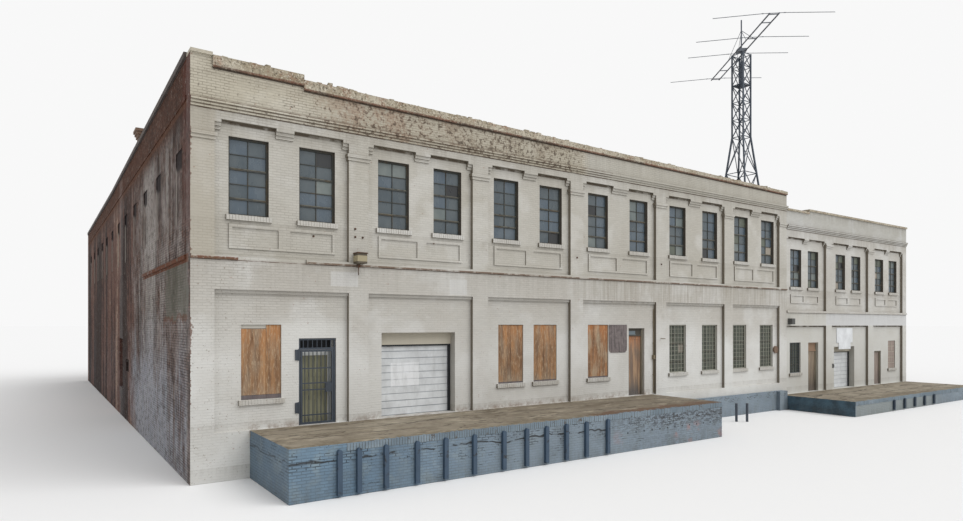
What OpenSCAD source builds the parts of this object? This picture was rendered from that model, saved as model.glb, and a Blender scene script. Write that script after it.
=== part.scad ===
// Two-storey brick factory with a lower annexe, two loading docks and a roof mast with a beam aerial.
// X runs right along the front, Y runs into the building and Z is up, in millimetres.
// Lengths along the front count from the main block's left corner, heights from the lowest ground.
// The origin is the middle of the whole footprint at ground level.

/* [Front of the main block] */
// Width of the left corner pier
corner_w = 550; // [450:10:650]
// Left edge of the first pilaster
first_pilaster = 3920; // [3800:10:4100]
// Distance from one pilaster to the next
bay_pitch = 4160; // [4000:10:4400]
// Width of a pilaster
pilaster_w = 580; // [450:10:700]
// How far the bays lie behind the pilasters
recess = 120; // [80:5:160]
// Thickness of the outer walls
wall_t = 450; // [400:10:600]
// Depth of the building from front to rear
depth = 35500; // [30000:100:35800]

/* [Heights of the main block] */
// Floor and dock level above the lowest ground
main_floor = 1180; // [900:10:1400]
// Floor to the top of the belt ledge
main_ground_storey = 4320; // [4200:10:4700]
// Belt ledge to the underside of the string course
main_upper_storey = 3520; // [3400:10:3700]
// Underside of the string course to the underside of the coping
main_parapet = 890; // [800:10:1200]
// Height of the coping band at its thicker end
main_coping = 260; // [200:10:400]

/* [Annexe] */
// Left edge of the annexe's first pilaster, from the party wall
annex_first_pilaster = 3460; // [3380:10:3540]
// Distance between the annexe's two pilasters
annex_pitch = 4220; // [4150:10:4300]
// Width of the annexe's pilasters
annex_pilaster_w = 550; // [450:10:600]
// Width of the annexe's end pier
end_pier_w = 450; // [400:10:500]
// Width of the last bay
last_bay_w = 3400; // [3350:10:3500]
// Annexe floor above the lowest ground
annex_floor = 630; // [500:10:800]
// Floor to the top of the annexe's belt ledge
annex_ground_storey = 3840; // [3780:10:3950]
// Belt ledge to the underside of the string course
annex_upper_storey = 3730; // [3650:10:3900]
// Underside of the string course to the underside of the coping
annex_parapet = 990; // [850:10:1100]
// Height of the annexe's coping band
annex_coping = 90; // [70:10:140]

/* [Windows] */
// Width of the main block's upper windows
upper_window_w = 980; // [900:10:1010]
// Height of the main block's upper windows
upper_window_h = 1930; // [1750:10:1980]
// Upper sill above the belt ledge
upper_sill = 1020; // [950:10:1100]
// Brickwork between the two windows of a bay
window_gap = 860; // [780:10:900]
// Width of the ground windows
ground_window_w = 1000; // [900:10:1050]
// Height of the ground windows
ground_window_h = 1880; // [1700:10:1920]
// Ground sill above the floor
ground_sill = 750; // [700:10:850]
// Width of the annexe's upper windows
annex_window_w = 940; // [860:10:970]
// Height of the annexe's upper windows
annex_window_h = 1760; // [1600:10:1800]
// Annexe sill above its belt ledge
annex_sill = 1100; // [1040:10:1180]
// Brickwork between the two windows of an annexe bay
annex_gap = 600; // [560:10:660]
// Thickness of a projecting sill
sill_h = 130; // [100:5:180]
// How far a sill stands out of its wall
sill_out = 60; // [30:5:90]
// Width of a steel window frame seen from the front
sash_w = 45; // [30:1:60]
// Depth of a steel window frame
sash_t = 60; // [40:1:80]
// Setback of the frames behind the bay face
sash_set = 90; // [60:5:120]
// Thickness of the glass
glass_t = 8; // [6:1:12]
// Thickness of a boarding sheet
board_t = 20; // [15:1:30]
// Setback of the boarding behind the bay face
board_set = 45; // [20:5:100]

/* [Doors] */
// Width of the barred doorway
gate_w = 1020; // [950:10:1100]
// Height of the barred doorway
gate_h = 2270; // [2100:10:2350]
// From the barred doorway to the first pilaster
gate_set = 320; // [260:10:380]
// Width of the overhead doorway
overhead_w = 2440; // [2300:10:2550]
// Height of the overhead doorway
overhead_h = 2400; // [2200:10:2500]
// From the second bay's left edge to the overhead doorway
overhead_in = 450; // [400:10:550]
// Width of the store doorway
store_w = 850; // [800:10:950]
// Height of the store doorway, with its transom
store_h = 2500; // [2350:10:2550]
// From the fourth bay's left edge to the store doorway
store_in = 2400; // [2340:10:2480]
// Width of the annexe's wood doorway
wood_w = 900; // [850:10:980]
// Height of the annexe's wood doorway
wood_h = 2330; // [2200:10:2400]
// Width of the annexe's overhead doorway
roller_w = 2030; // [1900:10:2150]
// Height of the annexe's overhead doorway
roller_h = 2080; // [2000:10:2200]
// Width of the annexe's narrow doorway
narrow_w = 760; // [700:10:820]
// Height of the annexe's narrow doorway
narrow_h = 1780; // [1700:10:1900]
// Width of the doorway in the side wall
side_w = 1150; // [1000:10:1250]
// Height of the doorway in the side wall
side_h = 2050; // [2000:10:2200]
// Distance of the side doorway from the front
side_y = 14250; // [14000:10:14500]
// Thickness of a door leaf
leaf_t = 45; // [35:1:60]
// Width of a door frame seen from the front
frame_w = 60; // [40:1:80]
// Gap round a moving leaf
leaf_gap = 8; // [6:1:12]

/* [Docks] */
// Left end of the main dock
dock_x = 1380; // [1200:10:1600]
// Length of the main dock
dock_len = 14850; // [14000:50:15500]
// Depth of the main dock
dock_depth = 3000; // [2700:10:3100]
// Left end of the annexe's dock, from the party wall
annex_dock_in = -470; // [-550:10:-300]
// Depth of the annexe's dock
annex_dock_depth = 3250; // [3200:10:3400]
// Thickness of the dock decks
deck_t = 180; // [150:10:250]
// Thickness of the dock walls
dock_wall_t = 350; // [300:10:450]
// Width of a steel bumper
bumper_w = 110; // [90:5:140]
// How far a bumper stands out of the dock
bumper_out = 90; // [70:5:120]
// How far a bumper's top lies under the deck's top
bumper_drop = 120; // [80:10:250]
// Height of the foundation ledge under the last two bays
ledge_h = 850; // [700:10:1000]
// How far the foundation ledge stands out
ledge_out = 160; // [100:10:250]

/* [Roof and mast] */
// Thickness of the roof and floor slabs
slab_t = 250; // [200:10:300]
// From the front to the middle of the mast
mast_set = 1550; // [1400:10:1800]
// Side of the mast's foot
mast_foot = 1320; // [1200:10:1450]
// Side of the mast's straight part
mast_side = 580; // [520:10:650]
// Height at which the mast's legs turn straight, above the roof
mast_knee = 3400; // [3200:10:3600]
// Distance between the rings of the straight part
ring_pitch = 1620; // [1500:10:1700]
// Height of the mast's head above its top ring
mast_head = 600; // [500:10:700]
// Width of a leg of the mast
leg_w = 60; // [50:1:80]
// Width of a brace of the mast
brace_w = 24; // [18:1:32]
// Length of the aerial's boom
boom_len = 7300; // [6800:50:7800]
// Distance between the boom's two tubes
boom_gap = 400; // [320:10:480]
// Length of the aerial's elements
element_len = 5000; // [4600:50:5200]
// Way that the boom points, from the front
boom_turn = 54; // [0:1:90]

/* [Hidden] */

// Levels of the main block
main_belt = main_floor + main_ground_storey;
main_string = main_belt + main_upper_storey;
main_top = main_string + main_parapet;
// How far each pilaster stands off its regular place
bay_drift = [80, -35, -170, 25, 110, 20];
main_len = pilaster_x(6) + pilaster_w;
belt_h = 100;
belt_out = 45;
string_step = 70;
string_out = 32;

// Levels and lengths of the annexe, along the front from the main block's corner
annex_belt = annex_floor + annex_ground_storey;
annex_string = annex_belt + annex_upper_storey;
annex_top = annex_string + annex_parapet;
annex_pil_1 = main_len + annex_first_pilaster;
annex_pil_2 = annex_pil_1 + annex_pitch;
end_pier = annex_pil_2 + annex_pilaster_w + last_bay_w;
front_len = end_pier + end_pier_w;

// Copings stand out of the walls by this much and lie on them
coping_out = 60;
coping_joint = 4;

// Bays of each storey as [left, right] edges of the sunk field
function pilaster_x(k) = first_pilaster + bay_pitch * (k - 1) + bay_drift[k - 1];
main_bays = [for (k = [1:6]) [k == 1 ? corner_w : pilaster_x(k - 1) + pilaster_w, pilaster_x(k)]];
annex_bays = [
    [main_len, annex_pil_1],
    [annex_pil_1 + annex_pilaster_w, annex_pil_2],
    [annex_pil_2 + annex_pilaster_w, end_pier]
];

// Left edges of the two windows of a bay
function pair_x(bay, w, gap) = let (start = (bay[0] + bay[1]) / 2 - w - gap / 2) [start, start + w + gap];
upper_gaps = [for (more = [-70, -40, 30, 260, 190, 140]) window_gap + more];
annex_gaps = [for (more = [-30, 30, 30]) annex_gap + more];
upper_x = [for (i = [0:5]) each pair_x(main_bays[i], upper_window_w, upper_gaps[i])];
annex_upper_x = [for (i = [0:2]) each pair_x(annex_bays[i], annex_window_w, annex_gaps[i])];
upper_z = main_belt + upper_sill;
annex_upper_z = annex_belt + annex_sill;

// Ground windows: boarded ones in bays 1, 3 and 4, barred ones in bays 5 and 6
ground_z = main_floor + ground_sill;
boarded_gap = 440;
boarded_shift = 30;
barred_gap = 1010;
barred_shift = 110;
first_board_in = 650;
fourth_board_in = 340;
boarded_x = concat([main_bays[0][0] + first_board_in],
    pair_x(main_bays[2] - [boarded_shift, boarded_shift], ground_window_w, boarded_gap),
    [main_bays[3][0] + fourth_board_in]);
barred_x = concat(pair_x(main_bays[4], ground_window_w, barred_gap),
    pair_x(main_bays[5] - [barred_shift, barred_shift], ground_window_w, barred_gap));
ground_x = concat(boarded_x, barred_x);

// Left edges of the main block's doorways
gate_x = pilaster_x(1) - gate_set - gate_w;
overhead_x = main_bays[1][0] + overhead_in;
store_x = main_bays[3][0] + store_in;

// The grey board beside the store door hangs on the bay face
patch_w = 920;
patch_h = 1010;
patch_gap = 110;
patch_r = 140;
patch_up = 1620;
patch_x = store_x - patch_w - patch_gap;
patch_z = main_floor + patch_up;

// Annexe openings of the ground floor
small_window_w = 920;
small_window_h = 1420;
small_window_x = main_len + 460;
small_window_z = annex_floor + 930;
wood_set = 510;
wood_x = annex_pil_1 - wood_w - wood_set;
roller_in = 420;
roller_x = annex_bays[1][0] + roller_in;
narrow_in = 360;
narrow_x = annex_bays[2][0] + narrow_in;
end_window_w = 830;
end_window_h = 1510;
end_window_set = 630;
end_window_x = end_pier - end_window_w - end_window_set;
end_window_z = annex_floor + 800;

// Recessed fields end below the string course and the belt ledge
upper_field_top = main_string - 220;
ground_field_top = main_belt - 835;
annex_upper_field_top = annex_string - 340;
annex_ground_field_top = annex_belt - 700;

// Bands with sunk panels below the upper windows, above the belt ledge, and corbels in the fields' tops
panel_up = 190;
panel_h = 610;
annex_panel_up = 340;
annex_panel_h = 430;
corbel_side = 165;
corbel_end = 158;
corbel_h = 80;
annex_corbel_w = 380;
annex_corbel_end = 137;
annex_corbel_h = 75;

// The belt ledge has broken away between these two places
ledge_break = [1090, 2810];

// Floors and roofs
roof_z = main_string + 130;
annex_roof_z = annex_string + 100;

// The main parapet steps down twice from the corner pier and then falls to the right with its coping
corner_top_w = 500;
corner_rise = 370;
corner_cap = 80;
step_x = 2750;
step_rise = 110;
step_thicker = 20;
coping_fall = 170;
coping_thinner = 120;
party_top = main_top - 310;

// The annexe's parapet is lower beside the main block
annex_low_end = main_len + 1880;
annex_low = 130;

// Side wall
side_first = 1450;
side_start = 4750;
side_pitch = 2750;
side_window_w = 900;
side_count = floor((depth - 2 * wall_t - side_window_w / 2 - side_start) / side_pitch);
side_centres = concat([side_first], [for (i = [0:side_count]) side_start + side_pitch * i]);
side_window_h = 1900;
side_window_z = main_belt + 830;
side_recess = 35;
side_belt_end = 8000;
side_band_up = 230;
side_band_h = 120;
side_band_out = 25;

// The side wall's top falls from the front to this place and is level behind it
side_fall_end = 18000;
side_rise = 351;
side_joint = 5;
side_coping_h = 150;
function side_top(y) = main_top + side_rise * max(0, side_fall_end - y) / (side_fall_end - wall_t);
vent_w = 900;
vent_gap = 1250;
vent_y = side_y - vent_gap - vent_w;
vent_h = 480;
vent_z = main_floor + 780;

// Rear windows repeat the front's pitch, one a bay on each storey
rear_main_x = [for (k = [1:6]) pilaster_x(k) - bay_pitch / 2];
rear_annex_x = [for (bay = annex_bays) (bay[0] + bay[1] - annex_window_w) / 2];

// End wall windows
end_pitch = 4300;
end_count = floor((depth - 2 * end_pitch) / end_pitch);
end_y = [for (i = [0:end_count]) end_pitch * (i + 0.7)];

// Footprint, from which the origin is worked out
chimney_out = 110;
left_face = -chimney_out;
right_face = front_len + coping_out;
front_face = -annex_dock_depth - bumper_out;
rear_face = depth + coping_out;
mid_x = (left_face + right_face) / 2;
mid_y = (front_face + rear_face) / 2;

// Steel colours
steel = [0.16, 0.17, 0.18];
brick_paint = [0.80, 0.77, 0.70];
old_brick = [0.45, 0.33, 0.28];
blue_paint = [0.36, 0.48, 0.60];

module placed() translate([-mid_x, -mid_y, 0]) children();

// A block given by two opposite corners
module block(low, high) translate(low) cube(high - low);

// An outline in X and Z carried from one distance to another behind the front
module along(points, y0, y1)
    translate([0, y1, 0]) rotate([90, 0, 0]) linear_extrude(height = y1 - y0) polygon(points);

// An outline in Y and Z carried from one place to another along the front
module across(points, x0, x1)
    translate([x0, 0, 0]) rotate([90, 0, 90]) linear_extrude(height = x1 - x0) polygon(points);

// A bar of square section between two points
module bar(from, to, w) {
    hull() {
        translate(from - [w, w, w] / 2) cube(w);
        translate(to - [w, w, w] / 2) cube(w);
    }
}

// Holes through the front wall at the given left edges
module front_holes(xs, w, z, h) {
    for (x = xs) block([x, -recess, z], [x + w, wall_t + recess, z + h]);
}

// Projecting sills under windows, on the bay face
module front_sills(xs, w, z) {
    side = 70;
    for (x = xs) block([x - side, recess - sill_out, z - sill_h], [x + w + side, recess, z]);
}

// Sunk fields of a row of bays between two heights
module fields(bays, z0, z1) {
    for (bay = bays) block([bay[0], -recess, z0], [bay[1], recess, z1]);
}

// A raised band under a bay's two windows, with a sunk panel below each window
module sill_panels(bay, w, gap, z0, h) {
    out = 32;
    rim = 85;
    half = w + gap / 2;
    mid = (bay[0] + bay[1]) / 2;
    difference() {
        block([mid - half, recess - out, z0], [mid + half, recess, z0 + h]);
        for (side = [-1, 1]) {
            edge = mid + side * (half - rim);
            inner = mid + side * rim * 1.8;
            block([min(edge, inner), 0, z0 + rim * 0.7], [max(edge, inner), recess, z0 + h - rim]);
        }
    }
}

// Corbels that close a field at its top, each of three courses: one in the middle, a narrow one at each end
module corbels(bay, top, w, end_w, step_h) {
    for (i = [0:2], at = [[bay[0], end_w], [(bay[0] + bay[1] - w) / 2, w], [bay[1] - end_w, end_w]]) {
        reach = recess * (3 - i) / 3;
        block([at[0], recess - reach, top - step_h * (i + 1)], [at[0] + at[1], recess, top - step_h * i]);
    }
}

// Two-step caps round the tops of the pilasters, up to a limit at the right
cap_step = 85;
cap_out = [30, 58];
module pilaster_caps(edges, w, z, limit) {
    for (x = edges, i = [0, 1])
        block([x - cap_out[i], -cap_out[i], z + cap_step * i],
            [min(x + w + cap_out[i], limit), recess, z + cap_step * (i + 1)]);
}

// The main block's ground storey before its doorways are cut
module main_ground_body() {
    difference() {
        block([0, 0, main_floor], [main_len, wall_t, main_belt - belt_h]);
        fields(main_bays, main_floor - 1, ground_field_top);
        front_holes(ground_x, ground_window_w, ground_z, ground_window_h);
    }
    front_sills(ground_x, ground_window_w, ground_z);
    for (bay = main_bays)
        block([bay[0], recess / 2, ground_field_top - 80], [bay[1], recess, ground_field_top]);
}

// The annexe's ground storey before its doorways are cut
module annex_ground_body() {
    difference() {
        block([main_len, 0, annex_floor], [front_len, wall_t, annex_belt - belt_h]);
        fields(annex_bays, annex_floor - 1, annex_ground_field_top);
        front_holes([small_window_x], small_window_w, small_window_z, small_window_h);
        front_holes([end_window_x], end_window_w, end_window_z, end_window_h);
    }
    front_sills([small_window_x], small_window_w, small_window_z);
    front_sills([end_window_x], end_window_w, end_window_z);
}

// Doorways of a front wall as [left edge, width, head above the floor]
main_doors = [[gate_x, gate_w, gate_h], [overhead_x, overhead_w, overhead_h], [store_x, store_w, store_h]];
annex_doors = [[wood_x, wood_w, wood_h], [roller_x, roller_w, roller_h], [narrow_x, narrow_w, narrow_h]];

// The full-height strips in which doorways stand
module door_strips(doors, floor_z, above) {
    for (door = doors)
        block([door[0], -wall_t, floor_z + (above ? door[2] : -1)],
            [door[0] + door[1], 2 * wall_t, main_string]);
}

module front_foundation() {
    color(brick_paint) block([0, 0, 0], [main_len, wall_t, main_floor]);
    color(old_brick) block([0, side_y, 0], [wall_t, side_y + side_w, main_floor]);
}

module annex_foundation() {
    color(brick_paint) block([main_len, 0, 0], [front_len, wall_t, annex_floor]);
}

module front_wall_ground() {
    color(brick_paint) difference() {
        main_ground_body();
        door_strips(main_doors, main_floor, false);
    }
}

module annex_wall_ground() {
    color(brick_paint) difference() {
        annex_ground_body();
        door_strips(annex_doors, annex_floor, false);
    }
}

module walls_over_doors() {
    color(brick_paint) {
        intersection() {
            main_ground_body();
            door_strips(main_doors, main_floor, true);
        }
        intersection() {
            annex_ground_body();
            door_strips(annex_doors, annex_floor, true);
        }
    }
    color(old_brick) intersection() {
        side_wall_body();
        block([-wall_t, side_y, main_floor + side_h], [2 * wall_t, side_y + side_w, main_top + side_rise]);
    }
}

cap_z = main_string - 750;
annex_cap_z = annex_string - 650;
module front_wall_upper() {
    color(brick_paint) {
        difference() {
            block([0, 0, main_belt - belt_h], [main_len, wall_t, main_string]);
            fields(main_bays, main_belt, upper_field_top);
            front_holes(upper_x, upper_window_w, upper_z, upper_window_h);
        }
        block([0, -belt_out, main_belt - belt_h], [ledge_break[0], 0, main_belt]);
        block([ledge_break[1], -belt_out, main_belt - belt_h], [main_len, 0, main_belt]);
        front_sills(upper_x, upper_window_w, upper_z);
        for (i = [0:5]) {
            sill_panels(main_bays[i], upper_window_w, upper_gaps[i], main_belt + panel_up, panel_h);
            corbels(main_bays[i], upper_field_top, upper_gaps[i] - 2 * corbel_side, corbel_end, corbel_h);
        }
        pilaster_caps([for (k = [1:6]) pilaster_x(k)], pilaster_w, cap_z, main_len);
        for (i = [0, 1])
            block([0, -cap_out[i], cap_z + cap_step * i],
                [corner_w + cap_out[i], 0, cap_z + cap_step * (i + 1)]);
    }
}

module annex_wall_upper() {
    color(brick_paint) {
        difference() {
            block([main_len, 0, annex_belt - belt_h], [front_len, wall_t, annex_string]);
            fields(annex_bays, annex_belt, annex_upper_field_top);
            front_holes(annex_upper_x, annex_window_w, annex_upper_z, annex_window_h);
        }
        block([main_len, -belt_out, annex_belt - belt_h], [front_len, 0, annex_belt]);
        front_sills(annex_upper_x, annex_window_w, annex_upper_z);
        for (i = [0:2]) {
            sill_panels(annex_bays[i], annex_window_w, annex_gaps[i], annex_belt + annex_panel_up,
                annex_panel_h);
            corbels(annex_bays[i], annex_upper_field_top, annex_corbel_w, annex_corbel_end, annex_corbel_h);
        }
        pilaster_caps([annex_pil_1, annex_pil_2], annex_pilaster_w, annex_cap_z, end_pier);
    }
}

// A string course of three stepped bands along a front
module string_course(x0, x1, z) {
    for (i = [0:2])
        block([x0, -string_out * (i + 1), z + string_step * i], [x1, 0, z + string_step * (i + 1)]);
}

module front_parapet() {
    color(brick_paint) {
        along([
            [0, main_string], [main_len, main_string], [main_len, main_top - coping_fall], [step_x, main_top],
            [step_x, main_top + step_rise], [corner_top_w, main_top + step_rise],
            [corner_top_w, main_top + corner_rise], [0, main_top + corner_rise]
        ], 0, wall_t);
        string_course(0, main_len, main_string);
    }
}

module annex_parapet_wall() {
    color(brick_paint) {
        block([main_len, 0, annex_string], [front_len, wall_t, annex_top - annex_low]);
        block([annex_low_end, 0, annex_top - annex_low], [front_len, wall_t, annex_top]);
        string_course(main_len, front_len, annex_string);
    }
}

module front_copings() {
    color([0.66, 0.63, 0.56]) {
        block([0, -coping_out, main_top + corner_rise],
            [corner_top_w, wall_t, main_top + corner_rise + corner_cap]);
        block([corner_top_w + coping_joint, -coping_out, main_top + step_rise],
            [step_x - coping_joint, wall_t, main_top + step_rise + main_coping + step_thicker]);
        along([
            [step_x, main_top], [main_len, main_top - coping_fall],
            [main_len, main_top - coping_fall + main_coping - coping_thinner],
            [step_x, main_top + main_coping]
        ], -coping_out, wall_t);
        block([main_len + coping_joint, -coping_out, annex_top - annex_low],
            [annex_low_end - coping_joint, wall_t, annex_top - annex_low + annex_coping]);
        block([annex_low_end, -coping_out, annex_top], [front_len, wall_t, annex_top + annex_coping]);
    }
}

// Shallow bricked-up windows of the side wall
module side_recesses() {
    for (y = side_centres)
        block([-recess, y - side_window_w / 2, side_window_z],
            [side_recess, y + side_window_w / 2, side_window_z + side_window_h]);
}

// The side wall before its doorway is cut
module side_wall_body() {
    difference() {
        across([
            [wall_t, 0], [depth - wall_t, 0], [depth - wall_t, main_top], [side_fall_end, main_top],
            [wall_t, side_top(wall_t)]
        ], 0, wall_t);
        side_recesses();
        block([-recess, vent_y, vent_z], [wall_t + recess, vent_y + vent_w, vent_z + vent_h]);
    }
    block([-side_band_out, wall_t, main_string + side_band_up],
        [0, depth - wall_t, main_string + side_band_up + side_band_h]);
    block([-belt_out, wall_t, main_belt - belt_h], [0, side_belt_end, main_belt]);
}

module side_wall() {
    color(old_brick) difference() {
        side_wall_body();
        block([-wall_t, side_y, -1], [2 * wall_t, side_y + side_w, main_top + side_rise]);
    }
}

module rear_wall() {
    color(old_brick) difference() {
        block([0, depth - wall_t, 0], [main_len, depth, main_top]);
        for (x = rear_main_x, z = [ground_z, upper_z])
            block([x - ground_window_w / 2, depth - 2 * wall_t, z],
                [x + ground_window_w / 2, depth + recess, z + ground_window_h]);
    }
}

module annex_rear_wall() {
    color(old_brick) difference() {
        block([main_len, depth - wall_t, 0], [front_len, depth, annex_top]);
        for (x = rear_annex_x, z = [annex_floor + ground_sill, annex_upper_z])
            block([x, depth - 2 * wall_t, z], [x + annex_window_w, depth + recess, z + annex_window_h]);
    }
}

module party_wall() {
    color(old_brick)
        block([main_len - wall_t, wall_t, 0], [main_len, depth - wall_t, party_top]);
}

module end_wall() {
    color(old_brick) difference() {
        block([front_len - wall_t, wall_t, 0], [front_len, depth - wall_t, annex_top]);
        for (y = end_y, z = [annex_floor + ground_sill, annex_upper_z])
            block([front_len - 2 * wall_t, y, z],
                [front_len + recess, y + annex_window_w, z + annex_window_h]);
    }
}

module side_copings() {
    start = wall_t + side_joint;
    end = depth - wall_t - coping_joint;
    low_top = annex_top + annex_coping;
    color([0.30, 0.29, 0.28]) {
        across([
            [start, side_top(start)], [side_fall_end, main_top], [end, main_top],
            [end, main_top + side_coping_h], [side_fall_end, main_top + side_coping_h],
            [start, side_top(start) + side_coping_h]
        ], -coping_out, wall_t);
        block([0, depth - wall_t, main_top], [main_len, depth + coping_out, main_top + side_coping_h]);
        block([main_len - wall_t, start, party_top], [main_len, end, party_top + side_coping_h]);
        block([front_len - wall_t, start, annex_top], [front_len + coping_out, end, low_top]);
        block([main_len + coping_joint, depth - wall_t, annex_top], [front_len, depth + coping_out, low_top]);
    }
}

// A slab between the walls of the main block or of the annexe, by its top
module main_slab(top, t) block([wall_t, wall_t, top - t], [main_len - wall_t, depth - wall_t, top]);
module annex_slab(top, t) block([main_len, wall_t, top - t], [front_len - wall_t, depth - wall_t, top]);

module ground_floors() {
    color([0.55, 0.53, 0.50]) {
        main_slab(main_floor, slab_t);
        annex_slab(annex_floor, slab_t);
    }
}

module upper_floors() {
    color([0.50, 0.40, 0.30]) {
        main_slab(main_belt, slab_t);
        annex_slab(annex_belt, slab_t);
    }
}

module roofs() {
    color([0.25, 0.25, 0.26]) {
        main_slab(roof_z, slab_t);
        annex_slab(annex_roof_z, slab_t);
    }
}

// A steel window frame that fills a hole of the front wall
module sash(x, z, w, h, y) {
    difference() {
        block([x, y, z], [x + w, y + sash_t, z + h]);
        block([x + sash_w, y - 1, z + sash_w], [x + w - sash_w, y + sash_t + 1, z + h - sash_w]);
    }
}

// The glass of such a frame
module pane(x, z, w, h, y) {
    front = y + (sash_t - glass_t) / 2;
    block([x + sash_w, front, z + sash_w], [x + w - sash_w, front + glass_t, z + h - sash_w]);
}

// Glazed windows as [left edge, sill, width, height, front of the frame]
front_sash_y = recess + sash_set;
rear_sash_y = depth - sash_set - sash_t;
glazed = concat(
    [for (x = upper_x) [x, upper_z, upper_window_w, upper_window_h, front_sash_y]],
    [for (x = annex_upper_x) [x, annex_upper_z, annex_window_w, annex_window_h, front_sash_y]],
    [for (x = barred_x) [x, ground_z, ground_window_w, ground_window_h, front_sash_y]],
    [[small_window_x, small_window_z, small_window_w, small_window_h, front_sash_y]],
    [for (x = rear_main_x, z = [ground_z, upper_z])
        [x - ground_window_w / 2, z, ground_window_w, ground_window_h, rear_sash_y]],
    [for (x = rear_annex_x, z = [annex_floor + ground_sill, annex_upper_z])
        [x, z, annex_window_w, annex_window_h, rear_sash_y]]
);

// Places a window that faces the front onto the end wall at distance y
module on_end(y) translate([front_len, y, 0]) rotate([0, 0, 90]) children();

module window_sashes() {
    color(steel) {
        for (win = glazed) sash(win[0], win[1], win[2], win[3], win[4]);
        for (y = end_y, z = [annex_floor + ground_sill, annex_upper_z])
            on_end(y) sash(0, z, annex_window_w, annex_window_h, sash_set);
    }
}

module window_glass() {
    color([0.22, 0.27, 0.33]) {
        for (win = glazed) pane(win[0], win[1], win[2], win[3], win[4]);
        for (y = end_y, z = [annex_floor + ground_sill, annex_upper_z])
            on_end(y) pane(0, z, annex_window_w, annex_window_h, sash_set);
    }
}

// A flat steel guard of crossed bars in front of a frame
module guard(x, z, w, h) {
    rim = 40;
    thick = 25;
    y = front_sash_y - thick;
    rods = 4;
    rows = 10;
    difference() {
        block([x, y, z], [x + w, y + thick, z + h]);
        block([x + rim, y - 1, z + rim], [x + w - rim, y + thick + 1, z + h - rim]);
    }
    for (i = [1:rods]) {
        at = x + w * i / (rods + 1);
        block([at - 6, y, z + rim / 2], [at + 6, y + thick, z + h - rim / 2]);
    }
    for (i = [1:rows]) {
        at = z + h * i / (rows + 1);
        block([x + rim / 2, y, at - 6], [x + w - rim / 2, y + thick, at + 6]);
    }
}

module window_guards() {
    color([0.55, 0.56, 0.55]) {
        for (x = barred_x) guard(x, ground_z, ground_window_w, ground_window_h);
        guard(small_window_x, small_window_z, small_window_w, small_window_h);
    }
}

module board(x, w, z, h) block([x, recess + board_set, z], [x + w, recess + board_set + board_t, z + h]);

module window_boards() {
    color([0.66, 0.45, 0.28]) {
        for (x = boarded_x) board(x, ground_window_w, ground_z, ground_window_h);
        board(end_window_x, end_window_w, end_window_z, end_window_h);
        block([patch_x, recess - board_t, patch_z + patch_r], [patch_x + patch_w, recess, patch_z + patch_h]);
        block([patch_x + patch_r, recess - board_t, patch_z],
            [patch_x + patch_w - patch_r, recess, patch_z + patch_r]);
        for (x = [patch_x + patch_r, patch_x + patch_w - patch_r])
            translate([x, recess, patch_z + patch_r]) rotate([90, 0, 0])
                cylinder(r = patch_r, h = board_t, $fn = 32);
    }
}

// The two posts of a door frame, from the floor to the head
module posts(door, floor_z, y, t) {
    top = floor_z + door[2] - frame_w;
    block([door[0], y, floor_z], [door[0] + frame_w, y + t, top]);
    block([door[0] + door[1] - frame_w, y, floor_z], [door[0] + door[1], y + t, top]);
}

// The head of a door frame, with a transom panel between the posts when the leaf is lower
module head(door, floor_z, y, t, leaf_h) {
    x0 = door[0];
    x1 = door[0] + door[1];
    top = floor_z + door[2];
    block([x0, y, top - frame_w], [x1, y + t, top]);
    if (leaf_h < door[2] - frame_w) {
        block([x0 + frame_w, y, floor_z + leaf_h], [x1 - frame_w, y + t, floor_z + leaf_h + frame_w]);
        block([x0 + frame_w, y + t / 3, floor_z + leaf_h], [x1 - frame_w, y + t / 3 + board_t, top]);
    }
}

// A flat header that hangs across the back of an overhead doorway
header_t = 100;
header_h = 350;
annex_header_h = 260;
module header(door, floor_z, h)
    block([door[0], wall_t - header_t, floor_z + door[2] - h],
        [door[0] + door[1], wall_t, floor_z + door[2]]);

// Leaf heights of the hinged doors, measured from the floor
entry_leaf_h = gate_h - 300;
store_leaf_h = store_h - 290;
wood_leaf_h = wood_h - 420;
narrow_leaf_h = narrow_h - frame_w;
side_leaf_h = side_h - frame_w;
frame_t = 100;
gate_y = recess + 30;
entry_y = wall_t - frame_t;
door_y = recess + 90;
narrow_y = recess + 40;

// Turns a door that faces the front round to face the side street
module on_side() translate([0, side_y + side_w, 0]) rotate([0, 0, -90]) children();
side_doorway = [0, side_w, side_h];

module door_posts() {
    color([0.36, 0.35, 0.30]) {
        posts(main_doors[0], main_floor, entry_y, frame_t);
        posts(main_doors[2], main_floor, door_y, frame_t);
        posts(annex_doors[0], annex_floor, door_y, frame_t);
        posts(annex_doors[2], annex_floor, narrow_y, frame_t);
        on_side() posts(side_doorway, main_floor, door_y, frame_t);
    }
}

module door_heads() {
    color([0.36, 0.35, 0.30]) {
        head(main_doors[0], main_floor, entry_y, frame_t, entry_leaf_h);
        head(main_doors[2], main_floor, door_y, frame_t, store_leaf_h);
        head(annex_doors[0], annex_floor, door_y, frame_t, wood_leaf_h);
        head(annex_doors[2], annex_floor, narrow_y, frame_t, narrow_leaf_h);
        on_side() head(side_doorway, main_floor, door_y, frame_t, side_leaf_h);
        header(main_doors[1], main_floor, header_h);
        header(annex_doors[1], annex_floor, annex_header_h);
    }
}

// Hinge knuckles lie this close to the post or jamb that carries them
hinge_r = 12;
hinge_h = 110;
hinge_fit = 0.3;
hinge_at = [0.12, 0.5, 0.88];

// Fixed frame of the gate: a post at each jamb and a grille over the leaf
gate_rim = 50;
gate_bars = 7;
gate_bar_w = 18;
gate_leaf_h = gate_h - 300;
module gate_posts() {
    color([0.07, 0.07, 0.08])
        for (x = [gate_x, gate_x + gate_w - gate_rim])
            block([x, gate_y, main_floor], [x + gate_rim, gate_y + gate_rim, main_floor + gate_leaf_h]);
}

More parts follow.
